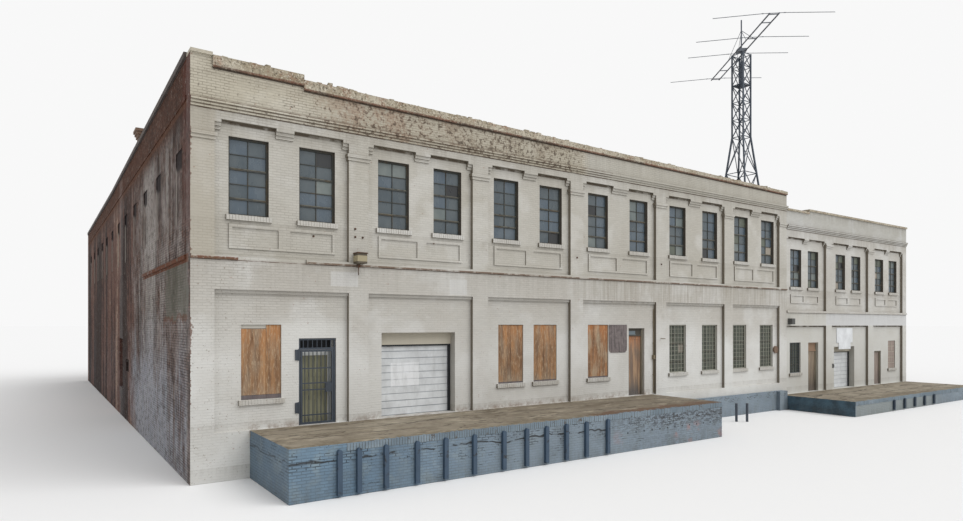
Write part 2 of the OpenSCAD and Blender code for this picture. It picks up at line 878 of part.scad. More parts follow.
module gate_grille() {
    z0 = main_floor + gate_leaf_h;
    z1 = main_floor + gate_h;
    color([0.07, 0.07, 0.08]) {
        for (z = [z0, z1 - gate_rim])
            block([gate_x, gate_y, z], [gate_x + gate_w, gate_y + gate_rim, z + gate_rim]);
        for (i = [0:gate_bars + 1]) {
            w = i == 0 || i == gate_bars + 1 ? gate_rim : gate_bar_w;
            x = gate_x + (gate_w - w) * i / (gate_bars + 1);
            block([x, gate_y + 16, z0 + gate_rim / 2], [x + w, gate_y + 34, z1 - gate_rim / 2]);
        }
    }
}

// Gate of flat bars in a tube frame, hung on its left edge
module security_gate() {
    x0 = gate_x + gate_rim + leaf_gap;
    x1 = gate_x + gate_w - gate_rim - leaf_gap;
    z0 = main_floor + leaf_gap;
    z1 = main_floor + gate_leaf_h - leaf_gap;
    color([0.07, 0.07, 0.08]) {
        difference() {
            block([x0, gate_y, z0], [x1, gate_y + gate_rim, z1]);
            block([x0 + gate_rim, gate_y - 1, z0 + gate_rim],
                [x1 - gate_rim, gate_y + gate_rim + 1, z1 - gate_rim]);
        }
        for (i = [1:gate_bars]) {
            at = x0 + (x1 - x0 - gate_bar_w) * i / (gate_bars + 1);
            block([at, gate_y + 16, z0 + gate_rim / 2], [at + gate_bar_w, gate_y + 34, z1 - gate_rim / 2]);
        }
        for (f = [0.12, 0.46, 0.55, 0.75])
            block([x0 + gate_rim / 2, gate_y + 8, z0 + (z1 - z0) * f - 15],
                [x1 - gate_rim / 2, gate_y + 42, z0 + (z1 - z0) * f + 15]);
        block([x1 - 210, gate_y + 5, z0 + (z1 - z0) * 0.42], [x1 - 20, gate_y + 45, z0 + (z1 - z0) * 0.54]);
        for (f = hinge_at)
            translate([gate_x + gate_rim + hinge_r + hinge_fit, gate_y, z0 + (z1 - z0) * f - hinge_h / 2])
                cylinder(r = hinge_r, h = hinge_h, $fn = 24);
    }
}

// A ledged leaf inside its frame: a board with raised rails
module leaf(x, w, floor_z, h, y, rails) {
    x0 = x + frame_w + leaf_gap;
    x1 = x + w - frame_w - leaf_gap;
    z0 = floor_z + leaf_gap;
    z1 = floor_z + h - leaf_gap;
    panel_in = 110;
    row = (z1 - z0 - panel_in) / rails;
    difference() {
        block([x0, y, z0], [x1, y + leaf_t, z1]);
        for (i = [0:rails - 1])
            block([x0 + panel_in, y - 1, z0 + panel_in + row * i],
                [x1 - panel_in, y + 12, z0 + row * (i + 1)]);
    }
    axis_x = x0 - leaf_gap / 2;
    axis_y = y + leaf_t + hinge_r + hinge_fit;
    for (f = hinge_at) {
        z = z0 + (z1 - z0) * f - hinge_h / 2;
        translate([axis_x, axis_y, z]) cylinder(r = hinge_r, h = hinge_h, $fn = 24);
        block([axis_x, y + leaf_t, z + 10], [x0 + 160, axis_y, z + hinge_h - 10]);
    }
}

leaf_in = frame_t - leaf_t;
module entry_door() {
    color([0.42, 0.42, 0.30]) leaf(gate_x, gate_w, main_floor, entry_leaf_h, entry_y + leaf_in, 3);
}
module store_door() {
    color([0.52, 0.36, 0.24]) leaf(store_x, store_w, main_floor, store_leaf_h, door_y + leaf_in, 1);
}
module annex_wood_door() {
    color([0.55, 0.43, 0.32]) leaf(wood_x, wood_w, annex_floor, wood_leaf_h, door_y + leaf_in, 1);
}
module annex_narrow_door() {
    color([0.58, 0.50, 0.44]) leaf(narrow_x, narrow_w, annex_floor, narrow_leaf_h, narrow_y + leaf_in, 1);
}
module side_door() {
    color([0.30, 0.16, 0.13]) on_side() leaf(0, side_w, main_floor, side_leaf_h, door_y + leaf_in, 2);
}

// A sectional door behind its doorway: a flat back that laps the wall, with ribs up to the header
module sectional(x, w, floor_z, h, header, ribs) {
    lap = 60;
    side = 20;
    rib_out = 18;
    groove = 22;
    pitch = (h - header) / ribs;
    block([x - lap, wall_t, floor_z], [x + w + lap, wall_t + leaf_t, floor_z + h + lap]);
    for (i = [0:ribs - 1])
        block([x + side, wall_t - rib_out, floor_z + pitch * i + groove],
            [x + w - side, wall_t, floor_z + pitch * (i + 1) - 1]);
}

module overhead_doors() {
    color([0.90, 0.90, 0.88]) {
        sectional(overhead_x, overhead_w, main_floor, overhead_h, header_h, 10);
        sectional(roller_x, roller_w, annex_floor, roller_h, annex_header_h, 9);
    }
}

annex_dock_x = main_len + annex_dock_in;
annex_dock_end = front_len;
module dock_decks() {
    color([0.62, 0.59, 0.53]) {
        block([dock_x, -dock_depth, main_floor - deck_t], [dock_x + dock_len, 0, main_floor]);
        block([annex_dock_x, -annex_dock_depth, annex_floor - deck_t], [annex_dock_end, 0, annex_floor]);
    }
}

// The front wall under a deck, and its two end walls
module dock_front(x0, x1, d, top) block([x0, -d, 0], [x1, -d + dock_wall_t, top]);
module dock_end_pair(x0, x1, d, top) {
    block([x0, -d + dock_wall_t, 0], [x0 + dock_wall_t, 0, top]);
    block([x1 - dock_wall_t, -d + dock_wall_t, 0], [x1, 0, top]);
}

module dock_fronts() {
    color(blue_paint) {
        dock_front(dock_x, dock_x + dock_len, dock_depth, main_floor - deck_t);
        dock_front(annex_dock_x, annex_dock_end, annex_dock_depth, annex_floor - deck_t);
    }
}

module dock_ends() {
    color(blue_paint) {
        dock_end_pair(dock_x, dock_x + dock_len, dock_depth, main_floor - deck_t);
        dock_end_pair(annex_dock_x, annex_dock_end, annex_dock_depth, annex_floor - deck_t);
    }
}

// Bumpers as distances from a dock's left end to the middle of each
bumper_at = [1110, 1570, 2240, 3050, 3840, 4680, 5600, 6350, 7040, 7760, 8520, 9370];
annex_bumper_at = [for (i = [0:4]) 3350 + 1025 * i];
bumper_foot = 60;

// A bumper with a round top, on the front of a dock of depth d
module bumper(x, d, floor_z) {
    r = bumper_w / 2;
    top = floor_z - bumper_drop - r;
    block([x - r, -d - bumper_out, bumper_foot], [x + r, -d, top]);
    translate([x, -d, top]) rotate([90, 0, 0]) cylinder(r = r, h = bumper_out, $fn = 24);
}

module dock_bumpers() {
    color([0.13, 0.20, 0.28]) {
        for (at = bumper_at) bumper(dock_x + at, dock_depth, main_floor);
        for (at = annex_bumper_at) bumper(annex_dock_x + at, annex_dock_depth, annex_floor);
    }
}

module foundation_ledge() {
    x0 = dock_x + dock_len;
    pier = 600;
    color(blue_paint) {
        block([x0, -ledge_out, 0], [annex_dock_x, 0, ledge_h]);
        block([annex_dock_x - pier, -2 * ledge_out, 0], [annex_dock_x, -ledge_out, ledge_h]);
    }
}

// Chimney stub on the side wall, corbelled out in three steps and capped
chimney_y = 9150;
chimney_w = 460;
chimney_h = 490;
module chimney() {
    end = chimney_y + chimney_w;
    base = side_top(chimney_y) + side_coping_h;
    color(old_brick) {
        across([
            [chimney_y, base], [end, side_top(end) + side_coping_h], [end, base + chimney_h],
            [chimney_y, base + chimney_h]
        ], 0, chimney_w);
        for (i = [1:3]) {
            out = chimney_out * i / 3;
            low = base + chimney_h * (0.4 + 0.2 * (i - 1));
            block([-out, chimney_y - out, low], [chimney_w + out, end + out, low + chimney_h * 0.2]);
        }
    }
}

// Lamps on the belt, a vent in the side wall, a meter and a round cover beside a pilaster
lamp_w = 280;
lamp_x = pilaster_x(1) + 110;
cover_up = 1510;
cover_z = main_floor + cover_up;
cover_d = 320;
cover_out = 70;
cover_x = pilaster_x(6) - cover_d / 2 - 20;
meter_set = 290;
meter_up = 1150;
meter_z = annex_floor + meter_up;
module wall_fittings() {
    color([0.36, 0.30, 0.24]) {
        block([lamp_x, -330, main_belt - 40], [lamp_x + lamp_w, -belt_out, main_belt + 240]);
        block([main_len + 90, -220, annex_ground_field_top + 60],
            [main_len + 330, 0, annex_ground_field_top + 330]);
        translate([cover_x, recess, cover_z]) rotate([90, 0, 0])
            cylinder(d = cover_d, h = cover_out, $fn = 32);
        translate([roller_x - meter_set, recess, meter_z]) rotate([90, 0, 0])
            cylinder(d = 220, h = 110, $fn = 32);
        block([sash_set, vent_y, vent_z], [sash_set + sash_t, vent_y + vent_w, vent_z + vent_h]);
    }
}

// A plain sign over the annexe's overhead doorway, with a smaller plate below that laps the doorway
sign_w = 1560;
sign_h = 740;
sign_up = 200;
plate_w = 1180;
plate_lap = 130;
sign_t = 30;
module blank_sign() {
    mid = roller_x + roller_w / 2;
    head_z = annex_floor + roller_h;
    color([0.92, 0.92, 0.92]) {
        block([mid - sign_w / 2, recess - sign_t, head_z + sign_up],
            [mid + sign_w / 2, recess, head_z + sign_up + sign_h]);
        block([mid - plate_w / 2, recess - sign_t, head_z - plate_lap],
            [mid + plate_w / 2, recess, head_z + sign_up]);
    }
}

// Mast on the main roof behind the parapet
mast_clear = 5;
mast_x = main_len - wall_t - (mast_foot + leg_w) / 2 - mast_clear;
mast_y = mast_set;
rings = 3;
mast_top = roof_z + mast_knee + ring_pitch * (rings - 1) + mast_head;
corners = [[-1, -1], [1, -1], [1, 1], [-1, 1]];
function leg_at(k, side, z) = [corners[k][0] * side / 2, corners[k][1] * side / 2, z];

// X braces and a top ring on the four faces between two heights
module braced(side0, side1, z0, z1) {
    for (k = [0:3]) {
        next = (k + 1) % 4;
        bar(leg_at(k, side0, z0), leg_at(next, side1, z1), brace_w);
        bar(leg_at(next, side0, z0), leg_at(k, side1, z1), brace_w);
        bar(leg_at(k, side1, z1), leg_at(next, side1, z1), brace_w * 1.2);
    }
}

module mast_lattice() {
    half_side = (mast_foot + mast_side) / 2;
    foot = leg_w / 2;
    color(steel) translate([mast_x, mast_y, roof_z]) {
        for (k = [0:3]) {
            bar(leg_at(k, mast_foot, foot), leg_at(k, mast_side, mast_knee), leg_w);
            bar(leg_at(k, mast_side, mast_knee), leg_at(k, mast_side, mast_top - roof_z), leg_w);
        }
        braced(mast_foot, half_side, foot, mast_knee / 2);
        braced(half_side, mast_side, mast_knee / 2, mast_knee);
        for (i = [0:rings - 2]) {
            z = mast_knee + ring_pitch * i;
            braced(mast_side, mast_side, z, z + ring_pitch / 2);
            braced(mast_side, mast_side, z + ring_pitch / 2, z + ring_pitch);
        }
        braced(mast_side, mast_side, mast_knee + ring_pitch * (rings - 1), mast_top - roof_z);
    }
}

// Plate inside the legs with the turning gear on it
plate_drop = 1450;
plate_z = mast_top - plate_drop;
gear_h = 1100;
module mast_platform() {
    side = mast_side - leg_w - 2;
    color(steel) translate([mast_x, mast_y, plate_z]) {
        translate([-side / 2, -side / 2, 0]) cube([side, side, 30]);
        for (k = [0:3]) {
            at = corners[k] * (mast_side / 2 - leg_w);
            translate([at[0] - leg_w / 2, at[1] - leg_w / 2, 0]) cube([leg_w, leg_w, 60]);
        }
        translate([0, 0, 30]) cylinder(d = 220, h = gear_h, $fn = 32);
    }
}

mast_tube = 60;
mast_tube_z = plate_z + 30 + gear_h + hinge_fit;
mast_tube_h = 1970;
stay_drop = 520;
stay_share = 0.15;
stay_w = 14;
boom_z = mast_top + 230;
module rotor_mast() {
    color(steel) translate([mast_x, mast_y, mast_tube_z]) cylinder(d = mast_tube, h = mast_tube_h, $fn = 24);
}

// The aerial's own frame: its boom runs along X at the height of Z zero, centred on the mast
module aerial() translate([mast_x, mast_y, boom_z]) rotate([0, 0, boom_turn]) children();

// The booms and elements have rolled a little round the boom's own axis
roll = -2.5;

boom_d = 60;
module rod(from_x, len, d) translate([from_x, 0, 0]) rotate([0, 90, 0]) cylinder(d = d, h = len, $fn = 16);

tie_share = [-0.487, -0.385, -0.174, 0.326, 0.487];
clamp_len = 280;
clamp_h = 140;
module aerial_booms() {
    clear = mast_tube / 2 + hinge_fit;
    color([0.45, 0.46, 0.47]) aerial() {
        rotate([roll, 0, 0]) {
            for (side = [-1, 1])
                translate([0, side * boom_gap / 2, 0]) rod(-boom_len / 2, boom_len, boom_d);
            for (share = tie_share)
                translate([share * boom_len, -boom_gap / 2, 0]) rotate([0, 0, 90])
                    rod(0, boom_gap, boom_d * 0.7);
        }
        difference() {
            translate([-clamp_len / 2, -boom_gap / 2, -clamp_h / 2]) cube([clamp_len, boom_gap, clamp_h]);
            translate([0, 0, -clamp_h]) cylinder(r = clear, h = 2 * clamp_h, $fn = 24);
        }
    }
}

// Elements as [share of the boom, share of the full length]; their outer parts droop from a collar
element_at = [[-0.488, 1], [-0.18, 1], [0.06, 0.94], [0.485, 0.94]];
element_d = 26;
element_straight = 450;
element_droop = 2.5;
collar_d = 38;
collar_len = 70;
module half_element(len) {
    rod(0, element_straight, element_d);
    translate([element_straight, 0, 0]) {
        rotate([0, element_droop, 0]) rod(0, len - element_straight, element_d);
        rod(-collar_len / 2, collar_len, collar_d);
    }
}

module aerial_elements() {
    color([0.55, 0.56, 0.57]) aerial() rotate([roll, 0, 0])
        for (at = element_at, turn = [90, -90])
            translate([at[0] * boom_len, 0, (boom_d + element_d) / 2]) rotate([0, 0, turn])
                half_element(element_len / 2 * at[1]);
}

module boom_stays() {
    top = mast_tube_z + mast_tube_h - stay_drop - boom_z;
    w = stay_w;
    foot = boom_gap / 2;
    color([0.30, 0.31, 0.32]) aerial()
        for (end = [-1, 1], side = [-1, 1])
            bar([end * (mast_tube / 2 + w / 2), side * w, top],
                [end * boom_len * stay_share, side * foot * cos(roll),
                    side * foot * sin(roll) + (boom_d + w) / 2], w);
}

placed() front_foundation();
placed() annex_foundation();
placed() front_wall_ground();
placed() annex_wall_ground();
placed() walls_over_doors();
placed() front_wall_upper();
placed() annex_wall_upper();
placed() front_parapet();
placed() annex_parapet_wall();
placed() front_copings();
placed() side_wall();
placed() rear_wall();
placed() annex_rear_wall();
placed() party_wall();
placed() end_wall();
placed() side_copings();
placed() ground_floors();
placed() upper_floors();
placed() roofs();
placed() window_sashes();
placed() window_glass();
placed() window_guards();
placed() window_boards();
placed() door_posts();
placed() door_heads();
placed() gate_posts();
placed() gate_grille();
placed() security_gate();
placed() entry_door();
placed() overhead_doors();
placed() store_door();
placed() annex_wood_door();
placed() annex_narrow_door();
placed() side_door();
placed() dock_decks();
placed() dock_fronts();
placed() dock_ends();
placed() dock_bumpers();
placed() foundation_ledge();
placed() chimney();
placed() wall_fittings();
placed() blank_sign();
placed() mast_lattice();
placed() mast_platform();
placed() rotor_mast();
placed() aerial_booms();
placed() aerial_elements();
placed() boom_stays();
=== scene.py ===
# Looks of a brick factory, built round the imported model: finishes, window bars, boards, fittings and wear.
# Lengths are in metres. Places on the building count x along the front from its left corner, y into the
# building from the front face and z up from the lowest ground.
import math
import random

import bmesh
import bpy
from mathutils import Matrix, Vector


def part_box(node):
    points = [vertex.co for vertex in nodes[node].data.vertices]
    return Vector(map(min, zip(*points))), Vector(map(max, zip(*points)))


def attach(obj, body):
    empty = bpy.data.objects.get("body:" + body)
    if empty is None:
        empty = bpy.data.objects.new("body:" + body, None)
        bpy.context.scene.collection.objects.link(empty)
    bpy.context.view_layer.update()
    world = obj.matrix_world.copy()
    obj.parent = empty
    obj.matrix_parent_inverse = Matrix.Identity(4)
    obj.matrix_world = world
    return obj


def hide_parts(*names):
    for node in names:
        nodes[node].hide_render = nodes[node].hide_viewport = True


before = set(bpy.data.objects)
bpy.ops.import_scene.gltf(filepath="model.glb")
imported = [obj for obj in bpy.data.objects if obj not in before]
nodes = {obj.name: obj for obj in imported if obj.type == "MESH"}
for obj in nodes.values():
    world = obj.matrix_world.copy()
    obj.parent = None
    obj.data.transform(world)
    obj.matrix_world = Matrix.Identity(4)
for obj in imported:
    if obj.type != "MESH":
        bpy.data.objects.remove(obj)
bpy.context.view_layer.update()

# Main places, read from the frame
wall_low, wall_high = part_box("front_wall_ground")
annex_low, annex_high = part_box("annex_wall_ground")
CORNER = Vector((wall_low.x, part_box("front_foundation")[0].y, 0))
MAIN_FLOOR = wall_low.z
ANNEX_FLOOR = annex_low.z
MAIN_LEN = wall_high.x - CORNER.x
FRONT_LEN = annex_high.x - CORNER.x
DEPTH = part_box("rear_wall")[1].y - CORNER.y
RECESS = 0.12
MAIN_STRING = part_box("front_parapet")[0].z
MAIN_BELT = MAIN_STRING - 3.52
MAIN_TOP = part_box("rear_wall")[1].z
ANNEX_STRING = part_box("annex_parapet_wall")[0].z
ANNEX_BELT = ANNEX_STRING - 3.73
ANNEX_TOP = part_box("annex_parapet_wall")[1].z
COURSE = 0.0677
BRICK_LEN = 0.203


def at(x, y, z):
    """A place on the building, in the frame of the model."""
    return Vector((CORNER.x + x, CORNER.y + y, z))


# Helpers for meshes

def add_box(bm, low, high, bevel=0.0):
    """A box between two opposite corners, with its edges rounded by bevel."""
    low, high = Vector(low), Vector(high)
    size = high - low
    made = bmesh.ops.create_cube(bm, size=1.0)["verts"]
    bmesh.ops.scale(bm, vec=size, verts=made)
    bmesh.ops.translate(bm, vec=(low + high) / 2, verts=made)
    if bevel > 0:
        edges = {e for v in made for e in v.link_edges}
        out = bmesh.ops.bevel(bm, geom=list(edges), offset=bevel, affect="EDGES", segments=1,
                              profile=0.5, material=-1)
        made = list({v for f in out["faces"] for v in f.verts} | {v for v in made if v.is_valid})
    return made


def add_tube(bm, start, end, radius, sides=12):
    """A closed round bar between two points."""
    start, end = Vector(start), Vector(end)
    axis = end - start
    turn = axis.to_track_quat("Z", "Y").to_matrix().to_4x4()
    place = Matrix.Translation((start + end) / 2) @ turn
    return bmesh.ops.create_cone(bm, cap_ends=True, cap_tris=False, segments=sides, radius1=radius,
                                 radius2=radius, depth=axis.length, matrix=place)["verts"]


def new_piece(name, bm, material):
    """Turns a mesh into a piece of the building, of one named material or of several."""
    bmesh.ops.recalc_face_normals(bm, faces=bm.faces)
    mesh = bpy.data.meshes.new(name)
    bm.to_mesh(mesh)
    bm.free()
    piece = bpy.data.objects.new(name, mesh)
    bpy.context.scene.collection.objects.link(piece)
    for each in material.split():
        mesh.materials.append(LOOKS[each])
    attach(piece, "building")
    return piece


def solids(name):
    """The boxes of the separate solids in a node, from left to right."""
    bm = bmesh.new()
    bm.from_mesh(nodes[name].data)
    bmesh.ops.remove_doubles(bm, verts=bm.verts, dist=1e-5)
    left = set(bm.verts)
    found = []
    while left:
        todo = [left.pop()]
        low = todo[0].co.copy()
        high = todo[0].co.copy()
        while todo:
            vert = todo.pop()
            low = Vector(map(min, low, vert.co))
            high = Vector(map(max, high, vert.co))
            for edge in vert.link_edges:
                other = edge.other_vert(vert)
                if other in left:
                    left.remove(other)
                    todo.append(other)
        found.append((low, high))
    bm.free()
    return sorted(found, key=lambda pair: (round(pair[0].x, 3), round(pair[0].y, 3), pair[0].z))


# Helpers for materials

LOOKS = {}


def as_linear(colour):
    """A colour as it shows on screen, 0 to 255, in the shader's linear values. A value of a tree stays."""
    if isinstance(colour, Value):
        return colour
    return (*(((c / 255 + 0.055) / 1.055) ** 2.4 if c > 10 else c / 255 / 12.92 for c in colour), 1.0)


def add_node(tree, kind, inputs=None, **settings):
    """Adds a shader node. An input given as a value of the tree is linked, any other is set."""
    made = tree.nodes.new("ShaderNode" + kind)
    for key, value in settings.items():
        setattr(made, key, value)
    for key, value in (inputs or {}).items():
        set_input(made.inputs[key], value)
    return made


def set_input(socket, value):
    """Links a value of the tree to a socket, or sets a plain one on it."""
    if isinstance(value, Value):
        socket.id_data.links.new(value.socket, socket)
    else:
        socket.default_value = value


def math_node(operation, a, b=0.0, clamp=False):
    """The result of one sum on two values, of which one may be a plain number."""
    tree = (a if isinstance(a, Value) else b).socket.id_data
    return Value(add_node(tree, "Math", {0: a, 1: b}, operation=operation, use_clamp=clamp).outputs[0])


class Value:
    """A number, vector or colour in a node tree. Its operators add the nodes for the sum."""

    def __init__(self, socket):
        self.socket = socket

    def __add__(self, other):
        return math_node("ADD", self, other)

    def __sub__(self, other):
        return math_node("SUBTRACT", self, other)

    def __rsub__(self, other):
        return math_node("SUBTRACT", other, self)

    def __mul__(self, other):
        return math_node("MULTIPLY", self, other)

    def __truediv__(self, other):
        return math_node("DIVIDE", self, other)

    def __rtruediv__(self, other):
        return math_node("DIVIDE", other, self)

    def __or__(self, other):
        """The greater of two values."""
        return math_node("MAXIMUM", self, other)

    def __lt__(self, other):
        return math_node("LESS_THAN", self, other)

    def __gt__(self, other):
        return math_node("GREATER_THAN", self, other)

    def from_middle(self):
        """How far the fraction of the value is from one half."""
        return math_node("ABSOLUTE", math_node("FRACT", self) - 0.5)

    def ramp(self, low, high, to_low=0.0, to_high=1.0):
        """Stretches the value from one range to another, held at both ends."""
        made = add_node(self.socket.id_data, "MapRange", {"Value": self, "From Min": low, "From Max": high,
                                                          "To Min": to_low, "To Max": to_high})
        return Value(made.outputs[0])

    def between(self, low, high):
        """Stretches a value that runs from nothing to one to another range."""
        return self.ramp(0.0, 1.0, low, high)

    def span(self, low, high, soft=0.02):
        """One between two limits of the value, falling to nothing over a soft edge."""
        return self.ramp(low - soft, low) * self.ramp(high, high + soft, 1.0, 0.0)


class Surface:
    """A node tree under work. Its x, y and z count from the building's left front corner."""

    def __init__(self, tree):
        self.tree = tree
        self.colour = None
        self.place = self.node("TexCoord", output="Object")
        self.x, self.y, self.z = self.parts(self.node("VectorMath", {0: self.place, 1: at(0, 0, 0) * -1},
                                                      operation="ADD"))

    def node(self, kind, inputs=None, output=0, **settings):
        """Adds a node and gives one of its outputs."""
        return Value(add_node(self.tree, kind, inputs, **settings).outputs[output])

    def parts(self, vector):
        return [Value(socket) for socket in add_node(self.tree, "SeparateXYZ", {0: vector}).outputs]

    def normal(self):
        return self.parts(self.node("TexCoord", output="Normal"))

    def noise(self, scale, detail=4.0, rough=0.6, stretch=None):
        """A noise value, stretched by a scale for each axis or by one for the height alone."""
        place = self.place
        if stretch:
            scales = stretch if isinstance(stretch, tuple) else (1.0, 1.0, stretch)
            place = self.node("Mapping", {"Vector": place, "Scale": scales})
        inputs = {"Vector": place, "Scale": scale, "Detail": detail, "Roughness": rough}
        return self.node("TexNoise", inputs, "Fac")

    def use(self, group, inputs=None):
        """Places a node group with its own values and gives its outputs by name."""
        made = add_node(self.tree, "Group", inputs, node_tree=group)
        return {socket.name: Value(socket) for socket in made.outputs}

    def mix(self, factor, first, second):
        """Blends two colours by a factor."""
        return self.node("Mix", {0: factor, 6: as_linear(first), 7: as_linear(second)}, 2, data_type="RGBA",
                         clamp_factor=True)

    def tint(self, mask, colour, strength=None):
        """Lays a colour over the one so far where a mask is full."""
        self.colour = self.mix(mask * strength if strength else mask, self.colour, colour)

    def shade(self, value):
        """Lightens or darkens the colour so far."""
        self.colour = self.node("HueSaturation", {"Value": value, "Color": as_linear(self.colour)})

    def in_box(self, left, right, low, high, soft=0.012):
        """A soft-edged rectangle on the front."""
        return self.x.span(left, right, soft) * self.z.span(low, high, soft)

    def turned_away(self):
        """Masks of the faces that look to the left and of those that look down."""
        across, along, up = self.normal()
        return across.ramp(-0.9, -0.5, 1.0, 0.0), up.ramp(-0.9, -0.5, 1.0, 0.0)


class Finish(Surface):
    """A material under work, kept in LOOKS by its name."""

    def __init__(self, name):
        LOOKS[name] = bpy.data.materials.new(name)
        LOOKS[name].use_nodes = True
        super().__init__(LOOKS[name].node_tree)

    def set(self, label, value):
        set_input(self.tree.nodes["Principled BSDF"].inputs[label], value)

    def end(self, roughness, level, depth, strength):
        """Gives the shader its colour, roughness and bumps."""
        self.set("Base Color", self.colour)
        self.set("Roughness", roughness)
        self.set("Normal", self.node("Bump", {"Height": level, "Distance": depth, "Strength": strength}))


def new_group(name, inputs):
    """A surface in a node group of its own, and the group's number inputs."""
    tree = bpy.data.node_groups.new(name, "ShaderNodeTree")
    for label, value in inputs.items():
        tree.interface.new_socket(label, in_out="INPUT", socket_type="NodeSocketFloat").default_value = value
    given = tree.nodes.new("NodeGroupInput").outputs
    return Surface(tree), [Value(given[label]) for label in inputs]


def end_group(surface, **outputs):
    """Gives a group its outputs and hands the group back."""
    tree = surface.tree
    for label in outputs:
        kind = "NodeSocketColor" if label == "Color" else "NodeSocketFloat"
        tree.interface.new_socket(label, in_out="OUTPUT", socket_type=kind)
    end = tree.nodes.new("NodeGroupOutput")
    for label, value in outputs.items():
        set_input(end.inputs[label], value)
    return tree


def make_brickwork():
    """Brickwork in running bond on upright walls that face any side."""
    s, (brick_len, course, joint) = new_group("brickwork", {"Brick Length": BRICK_LEN, "Course": COURSE,
                                                            "Joint": 0.008})
    across, along, up = s.parts(s.place)
    up = up + s.noise(3, 2).between(-0.006, 0.006)
    bricks = add_node(s.tree, "TexBrick", {
        "Vector": s.node("CombineXYZ", {0: across + along, 1: up}), "Scale": 1, "Color1": (0, 0, 0, 1),
        "Color2": (1, 1, 1, 1), "Mortar": (0.5, 0.5, 0.5, 1), "Mortar Smooth": 0.3, "Mortar Size": joint,
        "Brick Width": brick_len, "Row Height": course})
    mortar = Value(bricks.outputs["Fac"])
    beds = (up / course).from_middle().ramp(0.36, 0.44)
    grit = s.noise(45, 3).between(-0.2, 0.2)
    return end_group(s, Tone=s.node("RGBToBW", {0: Value(bricks.outputs["Color"])}), Beds=beds,
                     Heads=math_node("SUBTRACT", mortar, beds, True), Height=1 - mortar + grit)


def make_weather():
    """Weather on walls: streaks that run down, broad patches, small flakes, pits and fine grain."""
    s, (streak_width,) = new_group("weather", {"Streak Width": 1.0})
    return end_group(s, Streaks=s.noise(4.5 / streak_width, 6, 0.7, 0.06).ramp(0.42, 0.72),
                     Patches=s.noise(0.42, 5, 0.6).ramp(0.35, 0.68), Flakes=s.noise(5, 8, 0.75),
                     Pits=s.noise(11, 3, 0.5).ramp(0.70, 0.73), Grain=s.noise(90, 3))


def make_band():
    """A band that is full at a height and fades out downwards over a drop."""
    s, (height, drop) = new_group("band", {"Height": 1, "Drop": 0.5})
    up = s.parts(s.place)[2]
    return end_group(s, Mask=up.ramp(height - drop, height) * (up < height + 0.004))


BRICKWORK = make_brickwork()
WEATHER = make_weather()
BAND = make_band()

SIDE_BELT_END = 8
SIDE_RECESS_TOP = MAIN_BELT + 0.83 + 1.90
RUST = (102, 66, 50)
PAINT = (193, 191, 185)
PAINT_FRESH = (204, 203, 199)
PAINT_DULL = (183, 179, 171)
GRIME = (104, 94, 80)
BARE_BRICK = (140, 100, 82)


